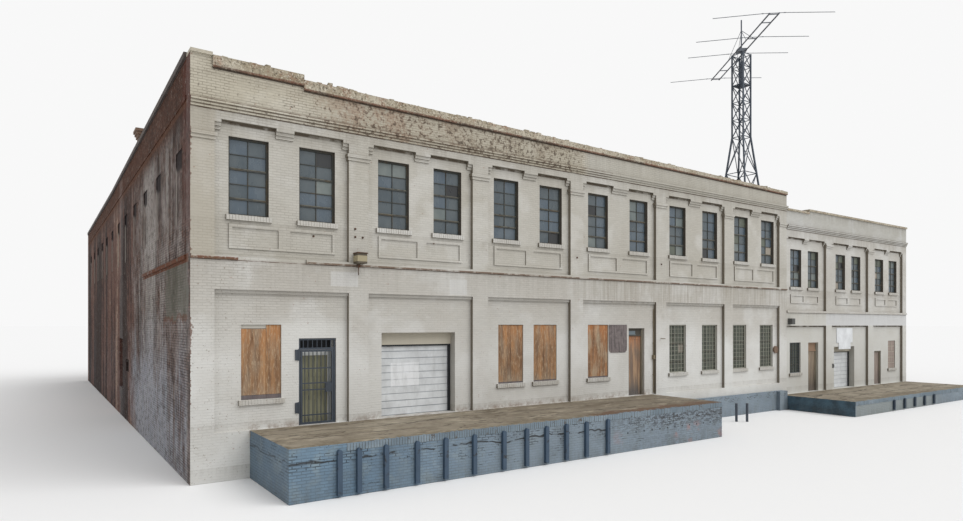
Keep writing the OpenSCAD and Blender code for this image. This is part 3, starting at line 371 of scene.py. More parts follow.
def make_side_wall():
    """The side wall: bare brick under an old grey wash that has run down in streaks."""
    s = new_group("side_wall_colour", {})[0]
    x, y, z = s.x, s.y, s.z
    bricks = s.use(BRICKWORK, {"Joint": 0.011})
    s.colour = s.mix(bricks["Tone"], (58, 43, 38), (104, 78, 67))
    rough = s.noise(0.9, 7, 0.72).ramp(0.42, 0.58) * z.ramp(MAIN_STRING + 0.1, MAIN_STRING - 1)
    s.tint(rough, (142, 132, 128), 0.8)
    s.tint(s.noise(0.9, 8, 0.78, 0.45).ramp(0.50, 0.58), (38, 31, 30), 0.65)
    # The wash: broad patches drawn out downwards, cut by finer streaks
    streak = s.noise(0.38, 6, 0.6, 0.40) * 0.40 + s.noise(0.80, 7, 0.75, 0.10) * 0.35
    streak = streak + s.noise(4, 6, 0.8, 0.14) * 0.25
    bias = z.ramp(MAIN_BELT - 1.2, 1, 0, 0.07) + y.ramp(8.5, 12, 0, -0.055)
    bias = bias + y.ramp(2.2, 4, -0.025, 0)
    wash = (streak + bias).ramp(0.46, 0.54) * z.ramp(MAIN_STRING - 0.5, MAIN_STRING + 0.1, 1, 0)
    pale = s.mix(z.ramp(2.4, 4.4), (176, 181, 190), (172, 168, 163))
    s.tint(wash * y.ramp(0.25, 0.5), pale, 0.64)
    # Browner brick above the string band, and a dark red far end with rusty runs
    uneven = s.noise(0.5, 6, 0.7).ramp(0.35, 0.65, 0.35, 1)
    s.tint(z.ramp(MAIN_STRING - 0.3, MAIN_STRING + 0.2) * uneven, (86, 55, 40), 0.85)
    far_y = y + s.noise(0.4).ramp(0.3, 0.7, -2, 2)
    runs = s.noise(0.40, 3, 0.5, 0.14) + s.noise(2, 5, 0.7).ramp(0.3, 0.7, -0.05, 0.05)
    rusty = s.mix(runs.ramp(0.44, 0.52), (46, 34, 31), (108, 78, 68))
    rusty = s.mix(runs.ramp(0.56, 0.62), rusty, (158, 134, 118))
    s.tint(far_y.ramp(9.5, 12) * z.ramp(MAIN_STRING + 0.4, MAIN_STRING - 0.6), rusty, 0.88)
    s.tint(y.ramp(1.1, 0.7) * z.ramp(MAIN_BELT, MAIN_BELT + 1), (92, 54, 46), 0.6)
    s.tint(s.noise(4, 8, 0.82, 1.6).ramp(0.52, 0.57), (56, 42, 34), 0.6)
    s.tint(s.noise(6, 7, 0.8, 0.8).ramp(0.56, 0.62), (168, 160, 152), 0.4)
    worn = s.noise(0.8).ramp(0.40, 0.60, 0.3, 1) * y.ramp(2, 6, 1.4, 0.7)
    s.tint((bricks["Beds"] * 0.60 | bricks["Heads"] * 0.35) * worn, (36, 30, 30))
    # A greenish rendered panel under the belt, with rust along its foot
    edge = s.noise(1.7, 5).ramp(0.3, 0.7, -0.30, 0.30)
    panel_z = z + edge * 0.5
    panel = (y + edge).span(0.2, 3.5) * panel_z.span(3.95, MAIN_BELT - 0.05)
    s.tint(panel * s.noise(3.4, 5, 0.7).ramp(0.30, 0.50, 0.2, 1), (98, 98, 88), 0.7)
    foot = y.span(0.3, 3.8) * panel_z.span(3.90, 4, 0.03)
    ledge = y.span(0.2, SIDE_BELT_END) * z.span(MAIN_BELT - 0.17, MAIN_BELT + 0.02)
    s.tint((foot * 0.6 | ledge) * s.noise(4.5, 5, 0.7).ramp(0.36, 0.50, 0.25, 1), RUST)
    s.tint(z.span(MAIN_STRING + 0.10, MAIN_STRING + 0.22, 0.04) * y.span(0.4, DEPTH), (96, 66, 50), 0.55)
    # Painted shadow in the bricked windows' heads; their far reveals paler, partly wash and partly painted
    # light
    top = z.span(SIDE_RECESS_TOP - 0.42, SIDE_RECESS_TOP + 0.01, 0.10) * x.span(0.012, 0.044, 0.004)
    s.tint(top, (36, 32, 33), 0.85)
    reveal = s.normal()[1].ramp(-0.5, -0.8) * x.span(0.008, 0.20, 0.004)
    s.tint(reveal * z.span(SIDE_RECESS_TOP - 1.95, SIDE_RECESS_TOP - 0.45, 0.12), (190, 183, 175), 0.8)
    return end_group(s, Color=s.colour, Height=bricks["Height"])


SIDE_WALL = make_side_wall()


def drips(s, streaks, bands):
    """Streaks under ledges: the strongest of bands given as (height, drop, strength, start, end)."""
    total = None
    for height, drop, strength, start, end in bands:
        part = s.use(BAND, {"Height": height, "Drop": drop})["Mask"] * s.x.span(start, end) * strength
        total = total | part if total else part
    return total * (streaks * 0.8 + 0.2)


def painted_brick(name, bands, lines=(), paint=PAINT, fresh=PAINT_FRESH, dull=PAINT_DULL, flake=0.72,
                  joint=0.34, bare=BARE_BRICK, reveal=0.35, extra=None, fields=(), faded=True):
    """Old paint on brick: joints show, grime runs down from ledges, flakes bare the brick. Shade is painted
    in lines under ledges, at recessed field heads and on faces that look left or down.
    """
    s = Finish(name)
    x, y, z = s.x, s.y, s.z
    bricks = s.use(BRICKWORK, {"Joint": 0.009})
    s.weather = weather = s.use(WEATHER, {"Streak Width": 0.8})
    s.colour = s.mix(weather["Patches"], dull, paint)
    s.tint(s.noise(0.7, 3).ramp(0.52, 0.62), fresh, 0.6)
    s.shade(bricks["Tone"].between(0.965, 1.035))
    uneven = s.noise(1.3, 5, 0.7).ramp(0.38, 0.62, 0.15, 1)
    if faded:
        uneven = uneven * x.ramp(0.8, 6, 1.25, 0.45)
    s.tint((bricks["Beds"] | bricks["Heads"] * 0.7) * (uneven * joint), GRIME)
    if extra:
        extra(s)
    if bands:
        s.tint(drips(s, weather["Streaks"], bands), GRIME)
    broken = s.noise(2.6).ramp(0.36, 0.52, 0.35, 1)
    # Thin dark lines just under ledges and steps: painted shade of their undersides, with some grime
    for height, strength, start, end in lines:
        line = z.span(height - 0.022, height - 0.001, 0.004) * x.span(start, end)
        s.tint(line * (broken * strength), (84, 62, 48))
    # A dark line at the head of each recessed field: painted shadow under the recess top, with some stain
    for top, start, end in fields:
        line = z.span(top - 0.055, top, 0.02) * x.span(start, end)
        line = line * y.span(RECESS - 0.004, RECESS + 0.004, 0.001)
        s.tint(line * (broken * 0.92), (80, 68, 53))
    worn = weather["Flakes"].ramp(flake, flake + 0.03) | weather["Pits"] * 0.45
    s.tint(worn, bare)
    # Painted shade, with some grime, on faces that look left or down: more of it outside the window reveals
    left, down = s.turned_away()
    deep = y.ramp(RECESS + 0.004, RECESS + 0.02)
    shade_and_dirt = s.mix(deep, (104, 95, 81), (66, 58, 50) if reveal > 0.5 else (118, 110, 96))
    s.tint((left | down) * deep.between(0.88, reveal), shade_and_dirt)
    s.tint(x.ramp(0.004, 0.008, 1, 0) | y.ramp(0.9, 1), s.use(SIDE_WALL)["Color"])
    s.set("Specular IOR Level", 0.3)
    s.end(weather["Grain"].ramp(0.3, 0.7, 0.70, 0.92), bricks["Height"] - worn * 0.4, 0.005, 0.6)


def side_finish(name):
    """The side wall's own material."""
    s = Finish(name)
    wall = s.use(SIDE_WALL)
    s.colour = wall["Color"]
    s.set("Specular IOR Level", 0.1)
    s.end(0.95, wall["Height"], 0.008, 0.8)


def bare_brick(name, light, dark, stain):
    """Unpainted brick with pale joints and soot."""
    s = Finish(name)
    bricks = s.use(BRICKWORK, {"Joint": 0.009})
    weather = s.use(WEATHER, {"Streak Width": 1.4})
    s.colour = s.mix(bricks["Tone"], dark, light)
    s.tint(bricks["Beds"] | bricks["Heads"], (126, 114, 102), 0.55)
    s.tint(weather["Streaks"] * weather["Patches"], stain, 0.6)
    s.end(weather["Grain"].ramp(0.3, 0.7, 0.8, 0.95), bricks["Height"], 0.007, 0.8)


def rough_surface(name, light, dark, scale=2, depth=0.003, roughness=0.85, stretch=None, spots=None,
                  cracks=0, extra=None):
    """A mineral or felt surface with broad patches, fine grain, darker stains and cracks."""
    s = Finish(name)
    patches = s.noise(scale, 6, 0.6, stretch).ramp(0.3, 0.7)
    s.colour = s.mix(patches, dark, light)
    grain = s.noise(60)
    s.shade(grain.ramp(0.3, 0.7, 0.93, 1.07))
    if spots:
        s.tint(s.noise(scale * 3.1, 5).ramp(0.56, 0.70), spots, 0.7)
    level = grain * 0.4 + patches
    if cracks:
        gap = math_node("ABSOLUTE", s.noise(0.55, 5, 0.55, (0.45, 1, 1)) - 0.5)
        crack = gap.ramp(0.003, 0.010, cracks, 0)
        s.tint(crack, (58, 48, 38))
        level = level - crack
    if extra:
        extra(s)
    s.end(grain.ramp(0.3, 0.7, roughness - 0.1, roughness + 0.08), level, depth, 0.6)


def worn_metal(name, paint, rust, amount=0.62, roughness=0.5, metal=0, scale=6, extra=None):
    """Painted or bare metal with rust coming through."""
    s = Finish(name)
    shape = s.noise(scale, 5)
    rusted = shape.ramp(amount, amount + 0.10)
    s.colour = paint
    s.shade(s.noise(scale * 0.4, 3).ramp(0.35, 0.65, 0.88, 1.08))
    s.tint(rusted, rust)
    if extra:
        extra(s)
    if metal:
        s.set("Metallic", rusted.between(metal, 0))
    s.end(rusted.between(roughness, 0.9), shape, 0.0015, 0.5)


def old_wood(name, warm, dark, grey, low, high, planks=0, top=None, greyed=0.5, extra=None):
    """Weathered wood with upright grain in three tones, greyer towards its foot and brighter at its top."""
    s = Finish(name)
    broad = s.noise(7, 5, 0.6, 0.10)
    lines = s.noise(30, 5, 0.65, 0.05)
    s.colour = s.mix(broad.ramp(0.36, 0.64), dark, warm)
    if top:
        s.tint(s.z.ramp(top[0], top[1]) * broad.ramp(0.3, 0.6), top[2])
    foot = (s.z + broad.ramp(0.3, 0.7, -0.3, 0.3)).ramp(low, high, 1, 0)
    bleached = s.noise(4, 4, 0.6, 0.25).ramp(0.48, 0.66)
    s.tint(math_node("MAXIMUM", foot, bleached * greyed, True), grey)
    s.shade(lines.ramp(0.35, 0.65, 1.08, 0.84))
    if planks:
        s.shade(((s.x + s.y) / planks).from_middle().ramp(0.44, 0.48, 1, 0.45))
    if extra:
        extra(s)
    s.end(lines.ramp(0.3, 0.7, 0.65, 0.85), lines, 0.002, 0.7)


def old_glass(name, tint, dust, amount, roughness):
    """Dark window glass under a film of dust."""
    s = Finish(name)
    film = s.noise(1.7, 5, 0.6, 0.5).ramp(0.35, 0.7, 0, amount)
    s.colour = s.mix(film, tint, dust)
    s.end(film.between(roughness, 0.7), s.noise(2.2, 2), 0.004, 0.3)


def place_of(name, end=0):
    """Where a node starts along the front, or where it ends."""
    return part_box(name)[end].x - CORNER.x


# Places that the finishes and pieces share
DOCK_X = place_of("dock_decks")
DOCK_END = place_of("foundation_ledge")
ANNEX_DOCK_X = place_of("foundation_ledge", 1)
DOCK_DEPTH = 3
ANNEX_DOCK_DEPTH = 3.25
GATE_X = place_of("gate_posts")
GATE_END = place_of("gate_posts", 1)
DOOR_LEFT = place_of("overhead_doors") + 0.06
DOOR_RIGHT = DOOR_LEFT + 2.44
DOOR_HEAD = MAIN_FLOOR + 2.40
BOARD_TOP = MAIN_FLOOR + 2.63
ROLLER_RIGHT = place_of("overhead_doors", 1) - 0.06
ROLLER_LEFT = ROLLER_RIGHT - 2.03
STORE_X = place_of("store_door") - 0.068
STORE_END = STORE_X + 0.85


def front_extra(s):
    """Brighter lower walls, fresh boxes of paint, long drips on the right half, a whiter annexe."""
    x, z = s.x, s.z
    s.tint(z.ramp(4.1, 2.9) * s.noise(0.6).ramp(0.35, 0.60, 0.5, 1), (219, 219, 216), 0.65)
    s.tint(s.in_box(3.49, 4.26, 4.85, 5.23) | s.in_box(7.22, 7.83, 4.71, 5.16), (208, 208, 206), 0.6)
    s.tint(s.in_box(2.25, 3.9, 1.4, 3.75, 0.25), (216, 216, 212), 0.5)
    wet = x.span(13.5, MAIN_LEN, 2) * z.span(4.75, MAIN_BELT - 0.1, 0.35)
    s.tint(wet * s.noise(9, 5, 0.7, 0.05).ramp(0.42, 0.64), (128, 116, 94), 0.42)
    s.tint(s.noise(15, 5, 0.75).ramp(0.62, 0.66) * x.ramp(3, 0.3, 0.25, 0.85), (122, 108, 92))
    damp = z.span(MAIN_FLOOR, MAIN_FLOOR + 0.05, 0.15) * x.span(DOCK_X, DOCK_END)
    s.tint(damp * s.noise(3, 6, 0.75).ramp(0.44, 0.60), (122, 98, 78), 0.6)
    white = s.mix(s.weather["Patches"], (194, 192, 184), (206, 206, 202))
    s.tint(x.ramp(MAIN_LEN, MAIN_LEN + 0.01), white, 0.85)
    band = z.span(3.80, ANNEX_BELT, 0.05) * x.ramp(MAIN_LEN + 3.4, MAIN_LEN + 3.5)
    s.tint(band, (204, 205, 206), 0.75)
    corner_chips(s)


def corner_chips(s):
    """Paint broken away here and there along the building's left front corner."""
    fine = s.noise(9, 5, 0.7).ramp(0.35, 0.70, -0.05, 0.05)
    broad = s.noise(0.7, 3).ramp(0.45, 0.65, -0.02, 0.05)
    s.tint(s.x < fine + broad, (112, 86, 74), 0.85)


def upper_extra(s):
    """A creamier corner, rusty brick where the belt ledge has broken, and a rusty line along the rest."""
    x, y, z = s.x, s.y, s.z
    s.tint(x.ramp(0.62, 0.52), (170, 162, 146), 0.5)
    ledge = y.ramp(-0.012, -0.006, 1, 0) * z.ramp(MAIN_BELT + 0.02, MAIN_BELT)
    patchy = s.noise(12, 5, 0.7).ramp(0.40, 0.50, 0.1, 1)
    rust = s.mix(s.noise(20), (84, 54, 44), (142, 92, 72))
    s.tint(ledge * x.ramp(1.12, 1.08) * patchy * z.ramp(MAIN_BELT - 0.03, MAIN_BELT - 0.05), rust)
    line = ledge * z.span(MAIN_BELT - 0.11, MAIN_BELT - 0.06, 0.01)
    s.tint(line * s.noise(2.2, 5, 0.7).ramp(0.40, 0.52, 0.15, 0.85), (104, 80, 62))
    corner_chips(s)


COPING_STEP = 2.75


def coping_foot(s, step):
    """The height of the coping's underside, which drops at a step and falls to the right."""
    fall = s.x.ramp(COPING_STEP, MAIN_LEN, 9.91, 9.74)
    return (s.x > step).between(10.02, fall)


def parapet_extra(s):
    """Paint lost along the middle of the parapet, soot specks and a painted shadow line under the coping."""
    x = s.x
    stretch = x.ramp(2.2, 4.2) * x.ramp(12.8, 12.3)
    spots = s.noise(8, 6, 0.75)
    mixed = s.noise(0.8, 6, 0.62, 0.7) * 0.45 + spots * 0.55
    s.tint(stretch, (152, 144, 128), 0.40)
    bare = s.mix(x.ramp(5.5, 8), (140, 106, 84), (120, 104, 85))
    s.tint(mixed.ramp(0.48, 0.54) * stretch, bare, 0.5)
    specks = spots - stretch.between(0.07, 0)
    s.tint(specks.ramp(0.53, 0.58) * x.ramp(12, 14, 0.78, 0.25), (74, 64, 54))
    s.tint(x.ramp(12.6, 13), (170, 168, 161), 0.6)
    s.tint(x.ramp(12, 13) * s.weather["Streaks"], (130, 122, 108), 0.25)
    # A dark line just under the coping: painted shadow
    below = coping_foot(s, COPING_STEP) - s.z
    s.tint(below.ramp(0.030, 0.055, 1, 0) * (x > 0.5), (60, 46, 37), 0.9)
    corner_chips(s)


def make_dock_wall():
    """Blue paint on dock brick: cracked joints, wear to the right, painted shade on left-facing ends, darkest
    by the annexe.
    """
    s = new_group("dock_wall_colour", {})[0]
    x, y, z = s.x, s.y, s.z
    bricks = s.use(BRICKWORK, {"Joint": 0.010})
    weather = s.use(WEATHER, {"Streak Width": 0.8})
    s.colour = s.mix(weather["Patches"], (94, 118, 138), (112, 136, 154))
    s.tint(s.noise(2.2, 5).ramp(0.50, 0.64), (130, 150, 162))
    s.shade(bricks["Tone"].between(0.93, 1.07))
    uneven = s.noise(1.3, 5, 0.7).ramp(0.38, 0.62, 0.2, 0.7)
    s.tint((bricks["Beds"] | bricks["Heads"] * 0.7) * uneven, (84, 92, 98))
    s.tint(x.ramp(DOCK_X + 1.5, DOCK_X + 6.5), (138, 146, 152), 0.6)
    s.tint(s.noise(1.1, 6, 0.65).ramp(0.46, 0.66), (92, 102, 108), 0.5)
    # Cracked joints and one long open joint
    wave = s.noise(0.9, 3).ramp(0.3, 0.7, -0.045, 0.045)
    up = z + wave
    bed = (up / COURSE).from_middle().ramp(0.36, 0.44)
    cracked = (s.noise(1.9, 6, 0.7, 2) + z.ramp(0.45, 0.85, -0.06, 0.03)).ramp(0.53, 0.56)
    s.tint((bed | bricks["Heads"] * z.ramp(0.4, 0.6)) * cracked, (40, 42, 44), 0.88)
    gap = (up + wave).span(MAIN_FLOOR - 0.37, MAIN_FLOOR - 0.335, 0.006)
    gap = gap * s.noise(3).ramp(0.40, 0.48) * x.span(DOCK_X, DOCK_X + 9.5, 0.3)
    s.tint(gap, (38, 38, 38), 0.9)
    # Chips, red patches and a rusty lip towards the right end
    worn = x.span(DOCK_X + 12, DOCK_END + 0.02, 3.5) * (x < DOCK_END + 0.02)
    chips = s.noise(9, 7, 0.8, (0.6, 1, 1.3)).ramp(0.48, 0.53)
    s.tint(chips * (worn * z.ramp(0.45, 0.8, 0.25, 1)), (50, 48, 48), 0.85)
    s.tint(worn * s.noise(1.3, 3).ramp(0.58, 0.66) * z.ramp(0.75, 0.5), (166, 112, 102), 0.45)
    lip = z + s.noise(3, 6, 0.75).ramp(0.3, 0.7, -0.10, 0.10)
    s.tint(lip.ramp(MAIN_FLOOR - 0.07, MAIN_FLOOR - 0.03) * x.span(10.6, DOCK_END, 0.8), (78, 56, 43), 0.85)
    # Painted shade on left-facing ends, darkest beside the annexe; a greyer annexe, a pale pier before it
    left, down = s.turned_away()
    s.tint(left, (78, 92, 104), 0.45)
    far = left * x.span(ANNEX_DOCK_X - 0.1, ANNEX_DOCK_X + 0.2) * y.ramp(0.05, 0)
    deep = s.mix(s.noise(1.8, 5, 0.65).ramp(0.4, 0.6), (42, 60, 70), (62, 88, 103))
    s.tint(far, deep, 0.92)
    grey = x.ramp(ANNEX_DOCK_X, ANNEX_DOCK_X + 0.1) * x.ramp(33.5, 31.5)
    s.tint(grey * (1 - left), (138, 142, 136), 0.6)
    pier = x.span(ANNEX_DOCK_X - 0.62, ANNEX_DOCK_X - 0.3) * y.ramp(-0.3, -0.35)
    s.tint(pier, (168, 178, 182), 0.5)
    s.tint(z.ramp(0.35, 0) * weather["Streaks"], (84, 84, 78), 0.6)
    return end_group(s, Color=s.colour, Height=bricks["Height"])


DOCK_WALL = make_dock_wall()


def dock_finish(name):
    """The docks' blue paint."""
    s = Finish(name)
    wall = s.use(DOCK_WALL)
    s.colour = wall["Color"]
    s.end(wall["Height"].between(0.9, 0.7), wall["Height"], 0.008, 0.8)


def deck_extra(s):
    """Soil and rust along the dock's front edge, cracked seams, and a darker right half."""
    x, y = s.x, s.y
    s.tint(x.ramp(6, 11) * x.ramp(DOCK_END + 0.4, DOCK_END), (108, 98, 82), 0.55)
    s.tint(s.noise(0.9, 7, 0.75, (0.6, 1, 1)).ramp(0.49, 0.58), (92, 80, 62), 0.5)
    s.tint(s.noise(2.4, 6, 0.7, (0.5, 1, 1)).ramp(0.54, 0.64), (186, 176, 156), 0.45)
    near = y + s.noise(2, 6, 0.7).ramp(0.3, 0.7, -0.35, 0.35)
    s.tint(near.ramp(-2.45, -2.65) * x.span(10.6, DOCK_END - 0.1, 0.5), (92, 60, 44), 0.85)
    soil = near.ramp(-0.45, -0.20) | near.ramp(-2.62, -2.75)
    s.tint(soil * s.noise(5, 5, 0.7).ramp(0.42, 0.56), (98, 86, 62), 0.6)
    bent = y + s.noise(0.5, 5, 0.6).ramp(0.3, 0.7, -0.25, 0.25)
    seam = bent.span(-1.04, -0.98, 0.02) | bent.span(-2.06, -2.00, 0.02)
    s.tint(seam * s.noise(1.2).ramp(0.42, 0.50) * (y < -0.02), (62, 52, 40), 0.8)
    edge = s.normal()[2].ramp(0.7, 0.3) * y.ramp(0, -0.1)
    s.tint(edge, s.use(DOCK_WALL)["Color"])


def head_extra(s):
    """Headers in the wall's paint, a dark transom over the barred door, an old pane over the store door."""
    x, z, floor = s.x, s.z, MAIN_FLOOR
    over = x.span(DOOR_LEFT - 0.01, DOOR_RIGHT + 0.01) | x.span(ROLLER_LEFT - 0.01, ROLLER_RIGHT + 0.01)
    s.tint(s.y.ramp(0.34, 0.352) * over, (196, 190, 175))
    gate = x.span(GATE_X - 0.01, GATE_END + 0.01)
    s.tint(gate, (30, 32, 36))
    s.tint(gate * z.span(floor + 1.75, floor + 2, 0.004), (224, 226, 224))
    s.tint(s.in_box(STORE_X + 0.04, STORE_END - 0.04, floor + 2.2, floor + 2.6, 0.004), (70, 66, 58))
    s.tint(s.in_box(STORE_X + 0.08, STORE_X + 0.5, floor + 2.26, floor + 2.40, 0.004), (112, 124, 130))
    s.tint(x.span(MAIN_LEN + 1.9, MAIN_LEN + 3.1), (142, 116, 94))


def post_extra(s):
    """White posts beside the barred door."""
    s.tint(s.x.span(GATE_X - 0.01, GATE_END + 0.01), (204, 206, 204))


def olive_extra(s):
    """The white rail and edges of the barred door's inner leaf."""
    left = s.x.ramp(place_of("entry_door") + 0.05, place_of("entry_door") + 0.045)
    right = s.x.ramp(place_of("entry_door", 1) - 0.07, place_of("entry_door", 1) - 0.065)
    s.tint(s.z.ramp(MAIN_FLOOR + 1.80, MAIN_FLOOR + 1.81) | (left | right), (226, 228, 226))


def door_extra(s):
    """Soft grey joints between the ribs, a blank paler square and grime."""
    some = s.noise(1.5, 2, 0.5, (0.1, 1, 1)).ramp(0.4, 0.6, 0.55, 0.95)
    s.tint(s.y.ramp(0.438, 0.446) * some, (160, 166, 172))
    s.tint(s.in_box(5.48, 6.40, 2.01, 2.69), (228, 230, 232))
    s.tint(s.noise(5, 5, 0.7, 0.3).ramp(0.50, 0.70), (160, 162, 160), 0.30)


def fleck_extra(s):
    """Short pale flecks along the grain and dark edges."""
    s.tint(s.noise(34, 5, 0.7, 0.16).ramp(0.52, 0.62), (196, 176, 146), 0.45)
    s.tint(s.noise(15, 6, 0.75, 0.12).ramp(0.56, 0.64), (82, 60, 46), 0.5)


def board_extra(s):
    """White paint on the first board's lower left, a grey board by the store door, a beige end window."""
    step = s.x.span(1.2, 1.2 + 0.62) * s.z.ramp(BOARD_TOP - 0.10, BOARD_TOP - 0.09)
    s.tint(step, (184, 181, 172))
    grey = s.mix(s.noise(12, 5, 0.6, 0.15).ramp(0.35, 0.65), (88, 80, 80), (130, 120, 118))
    grey = s.mix(s.noise(7, 6, 0.75).ramp(0.48, 0.60) * 0.6, grey, (74, 67, 68))
    s.tint(s.in_box(STORE_X - 1.04, STORE_X - 0.10, 2.6, 4), grey)
    s.tint(s.x.ramp(MAIN_LEN + 1, MAIN_LEN + 1.1), (186, 178, 162))


def guard_extra(s):
    """The annexe's small window has dark bars."""
    s.tint(s.x.ramp(MAIN_LEN, MAIN_LEN + 0.1), (74, 80, 82))


def bumper_extra(s):
    """Darker bumpers on the annexe's dock."""
    s.tint(s.x.ramp(MAIN_LEN, MAIN_LEN + 0.1), (38, 50, 62), 0.8)


def lamp_extra(s):
    """A pale glass between dark ends on the big lamp, dark small lamp and vent, a rusty round cover."""
    x, z = s.x, s.z
    lamp = x.span(4, 4.5) * z.span(5.3, 5.8)
    ends = 1 - z.span(5.52, 5.67, 0.006)
    s.tint(lamp * ends, (80, 72, 58))
    s.tint(lamp * (1 - ends), (156, 146, 118))
    small = x.span(MAIN_LEN, MAIN_LEN + 0.5) * z.ramp(3.6, 3.7) | s.y.ramp(10, 11)
    s.tint(small | x.ramp(MAIN_LEN + 3, MAIN_LEN + 3.2), (70, 70, 68))
    cover = x.span(MAIN_LEN - 1.1, MAIN_LEN - 0.4) * z.ramp(3.2, 3.1)
    s.tint(cover * s.y.span(-0.2, 0.2), s.mix(s.noise(14), (88, 66, 52), (128, 106, 86)))


def coping_finish(name):
    """Rubbly mortar and brick on the front coping: cream, rust-red and soot specks, painted shadow on its
    lower edge.
    """
    s = Finish(name)
    lumps = s.noise(11, 6, 0.75)
    s.colour = s.mix(s.noise(1.4, 6, 0.65).ramp(0.38, 0.62), (150, 138, 116), (182, 174, 156))
    s.tint(s.noise(2.6, 6, 0.7).ramp(0.52, 0.60) * lumps.ramp(0.40, 0.52), (142, 96, 74), 0.5)
    s.tint(lumps.ramp(0.56, 0.62) | s.noise(16, 6, 0.8).ramp(0.54, 0.60), (66, 56, 46), 0.8)
    s.tint(s.noise(21, 4, 0.6).ramp(0.56, 0.62), (210, 203, 186), 0.7)
    # A darker lower edge along the coping: painted shadow
    above = s.z - coping_foot(s, COPING_STEP - 0.002)
    edge = above.ramp(0.05, 0.03) * s.x.span(0.5, MAIN_LEN) * lumps.ramp(0.35, 0.50, 0.35, 0.9)
    s.tint(edge, s.mix(s.noise(0.9).ramp(0.42, 0.56), (70, 54, 44), (108, 70, 52)))
    s.tint(s.x.ramp(0.52, 0.48), (190, 184, 168), 0.7)
    s.end(lumps.ramp(0.3, 0.7, 0.75, 0.95), lumps, 0.03, 0.8)


# Finishes of this building
SILL_DRIP = MAIN_BELT + 1.02 - 0.13
MAIN_X = (0, MAIN_LEN)
ANNEX_X = (MAIN_LEN + 0.02, FRONT_LEN)
painted_brick("front_paint", [(MAIN_BELT - 0.1, 1.1, 0.28, *MAIN_X), (MAIN_FLOOR + 0.2, 0.2, 0.3, *MAIN_X),
    (0.35, 0.3, 0.4, *MAIN_X), (ANNEX_BELT - 0.1, 0.6, 0.2, *ANNEX_X),
    (ANNEX_FLOOR + 0.3, 0.3, 0.3, *ANNEX_X)],
    [(MAIN_BELT - 0.1, 0.85, *MAIN_X), (ANNEX_BELT - 0.1, 0.6, *ANNEX_X)],
    extra=front_extra, fields=[(4.665, *MAIN_X), (3.77, *ANNEX_X)])
painted_brick("upper_paint", [(MAIN_STRING, 0.9, 0.35, *MAIN_X), (SILL_DRIP, 0.6, 0.25, *MAIN_X)],
    [(MAIN_STRING, 0.85, *MAIN_X)], (187, 184, 176), (198, 196, 190), (177, 173, 163),
    reveal=0.92, extra=upper_extra, flake=0.70, fields=[(8.8, *MAIN_X)])
painted_brick("annex_upper_paint", [(ANNEX_STRING, 0.8, 0.35, *ANNEX_X),
    (ANNEX_BELT + 0.97, 0.6, 0.3, *ANNEX_X)],
    [(ANNEX_STRING, 0.7, *ANNEX_X)], reveal=0.9, fields=[(7.86, *ANNEX_X)])
painted_brick("parapet_paint", [(MAIN_TOP, 0.25, 0.4, *MAIN_X)],
    [(MAIN_STRING + 0.07 * k, 0.6, 0, 14) for k in range(4)],
    (190, 184, 169), (196, 191, 178), (178, 171, 154), 0.66, 0.85, extra=parapet_extra, faded=False)
painted_brick("annex_parapet_paint", [(ANNEX_TOP, 0.5, 0.4, *ANNEX_X)],
    [(ANNEX_STRING + 0.07 * k, 0.6, *ANNEX_X) for k in range(4)],
    (185, 184, 179), (191, 191, 188), (174, 172, 164), 0.70)
side_finish("side_brick")
bare_brick("rear_brick", (132, 96, 80), (94, 68, 58), (66, 54, 50))
bare_brick("chimney_brick", (132, 104, 84), (100, 76, 62), (74, 60, 52))
coping_finish("coping_cap")
rough_surface("side_cap", (84, 74, 68), (54, 46, 44), 1.6, 0.01)
rough_surface("concrete", (152, 143, 126), (122, 112, 96), 0.7, 0.006, 0.86, None, (100, 86, 66),
    0.8, deck_extra)
rough_surface("timber_floor", (140, 118, 92), (104, 84, 64), 1.2, 0.003, 0.7, (0.2, 6, 1))
rough_surface("roof_felt", (84, 83, 82), (58, 57, 57), 0.35, 0.006, 0.9, spots=(104, 100, 94))
dock_finish("dock_paint")
painted_brick("sill_paint", (), (), joint=0, flake=0.74)
painted_brick("cap_paint", (), (), (128, 142, 152), (140, 152, 160), (108, 122, 132), 0.60, 0,
    (96, 92, 88))
worn_metal("sash_steel", (56, 57, 52), (78, 70, 57), 0.52, 0.6, scale=3)
worn_metal("tan_steel", (112, 108, 94), (74, 70, 60), 0.50, 0.7, scale=5)
worn_metal("guard_steel", (152, 152, 140), (116, 98, 78), 0.66, 0.55, extra=guard_extra)
worn_metal("gate_steel", (56, 64, 74), (84, 66, 54), 0.7, 0.4)
old_wood("frame_wood", (150, 144, 128), (118, 110, 94), (104, 98, 88), MAIN_FLOOR - 0.3,
    MAIN_FLOOR + 0.3, extra=post_extra)
old_wood("head_wood", (140, 134, 116), (112, 104, 88), (104, 98, 88), -1, 0, extra=head_extra)
old_wood("olive_wood", (162, 160, 132), (130, 129, 104), (118, 114, 96), MAIN_FLOOR - 0.3,
    MAIN_FLOOR + 0.3, 0.18, greyed=0.2, extra=olive_extra)
old_wood("plywood", (166, 124, 84), (108, 78, 54), (146, 130, 110), MAIN_FLOOR + 0.55,
    MAIN_FLOOR + 1.15, top=(BOARD_TOP - 0.9, BOARD_TOP, (170, 118, 72)), greyed=0.6, extra=fleck_extra)
old_wood("backing", (74, 62, 52), (54, 46, 40), (70, 64, 58), 0, 0.5, extra=board_extra)
old_wood("bleached_ply", (160, 114, 74), (108, 74, 48), (166, 150, 126), MAIN_FLOOR + 0.2,
    MAIN_FLOOR + 0.7, top=(BOARD_TOP - 0.6, BOARD_TOP, (182, 116, 62)), greyed=0.85, extra=fleck_extra)
old_wood("damp_wood", (112, 100, 98), (84, 76, 76), (104, 100, 104), 1, 2.2)
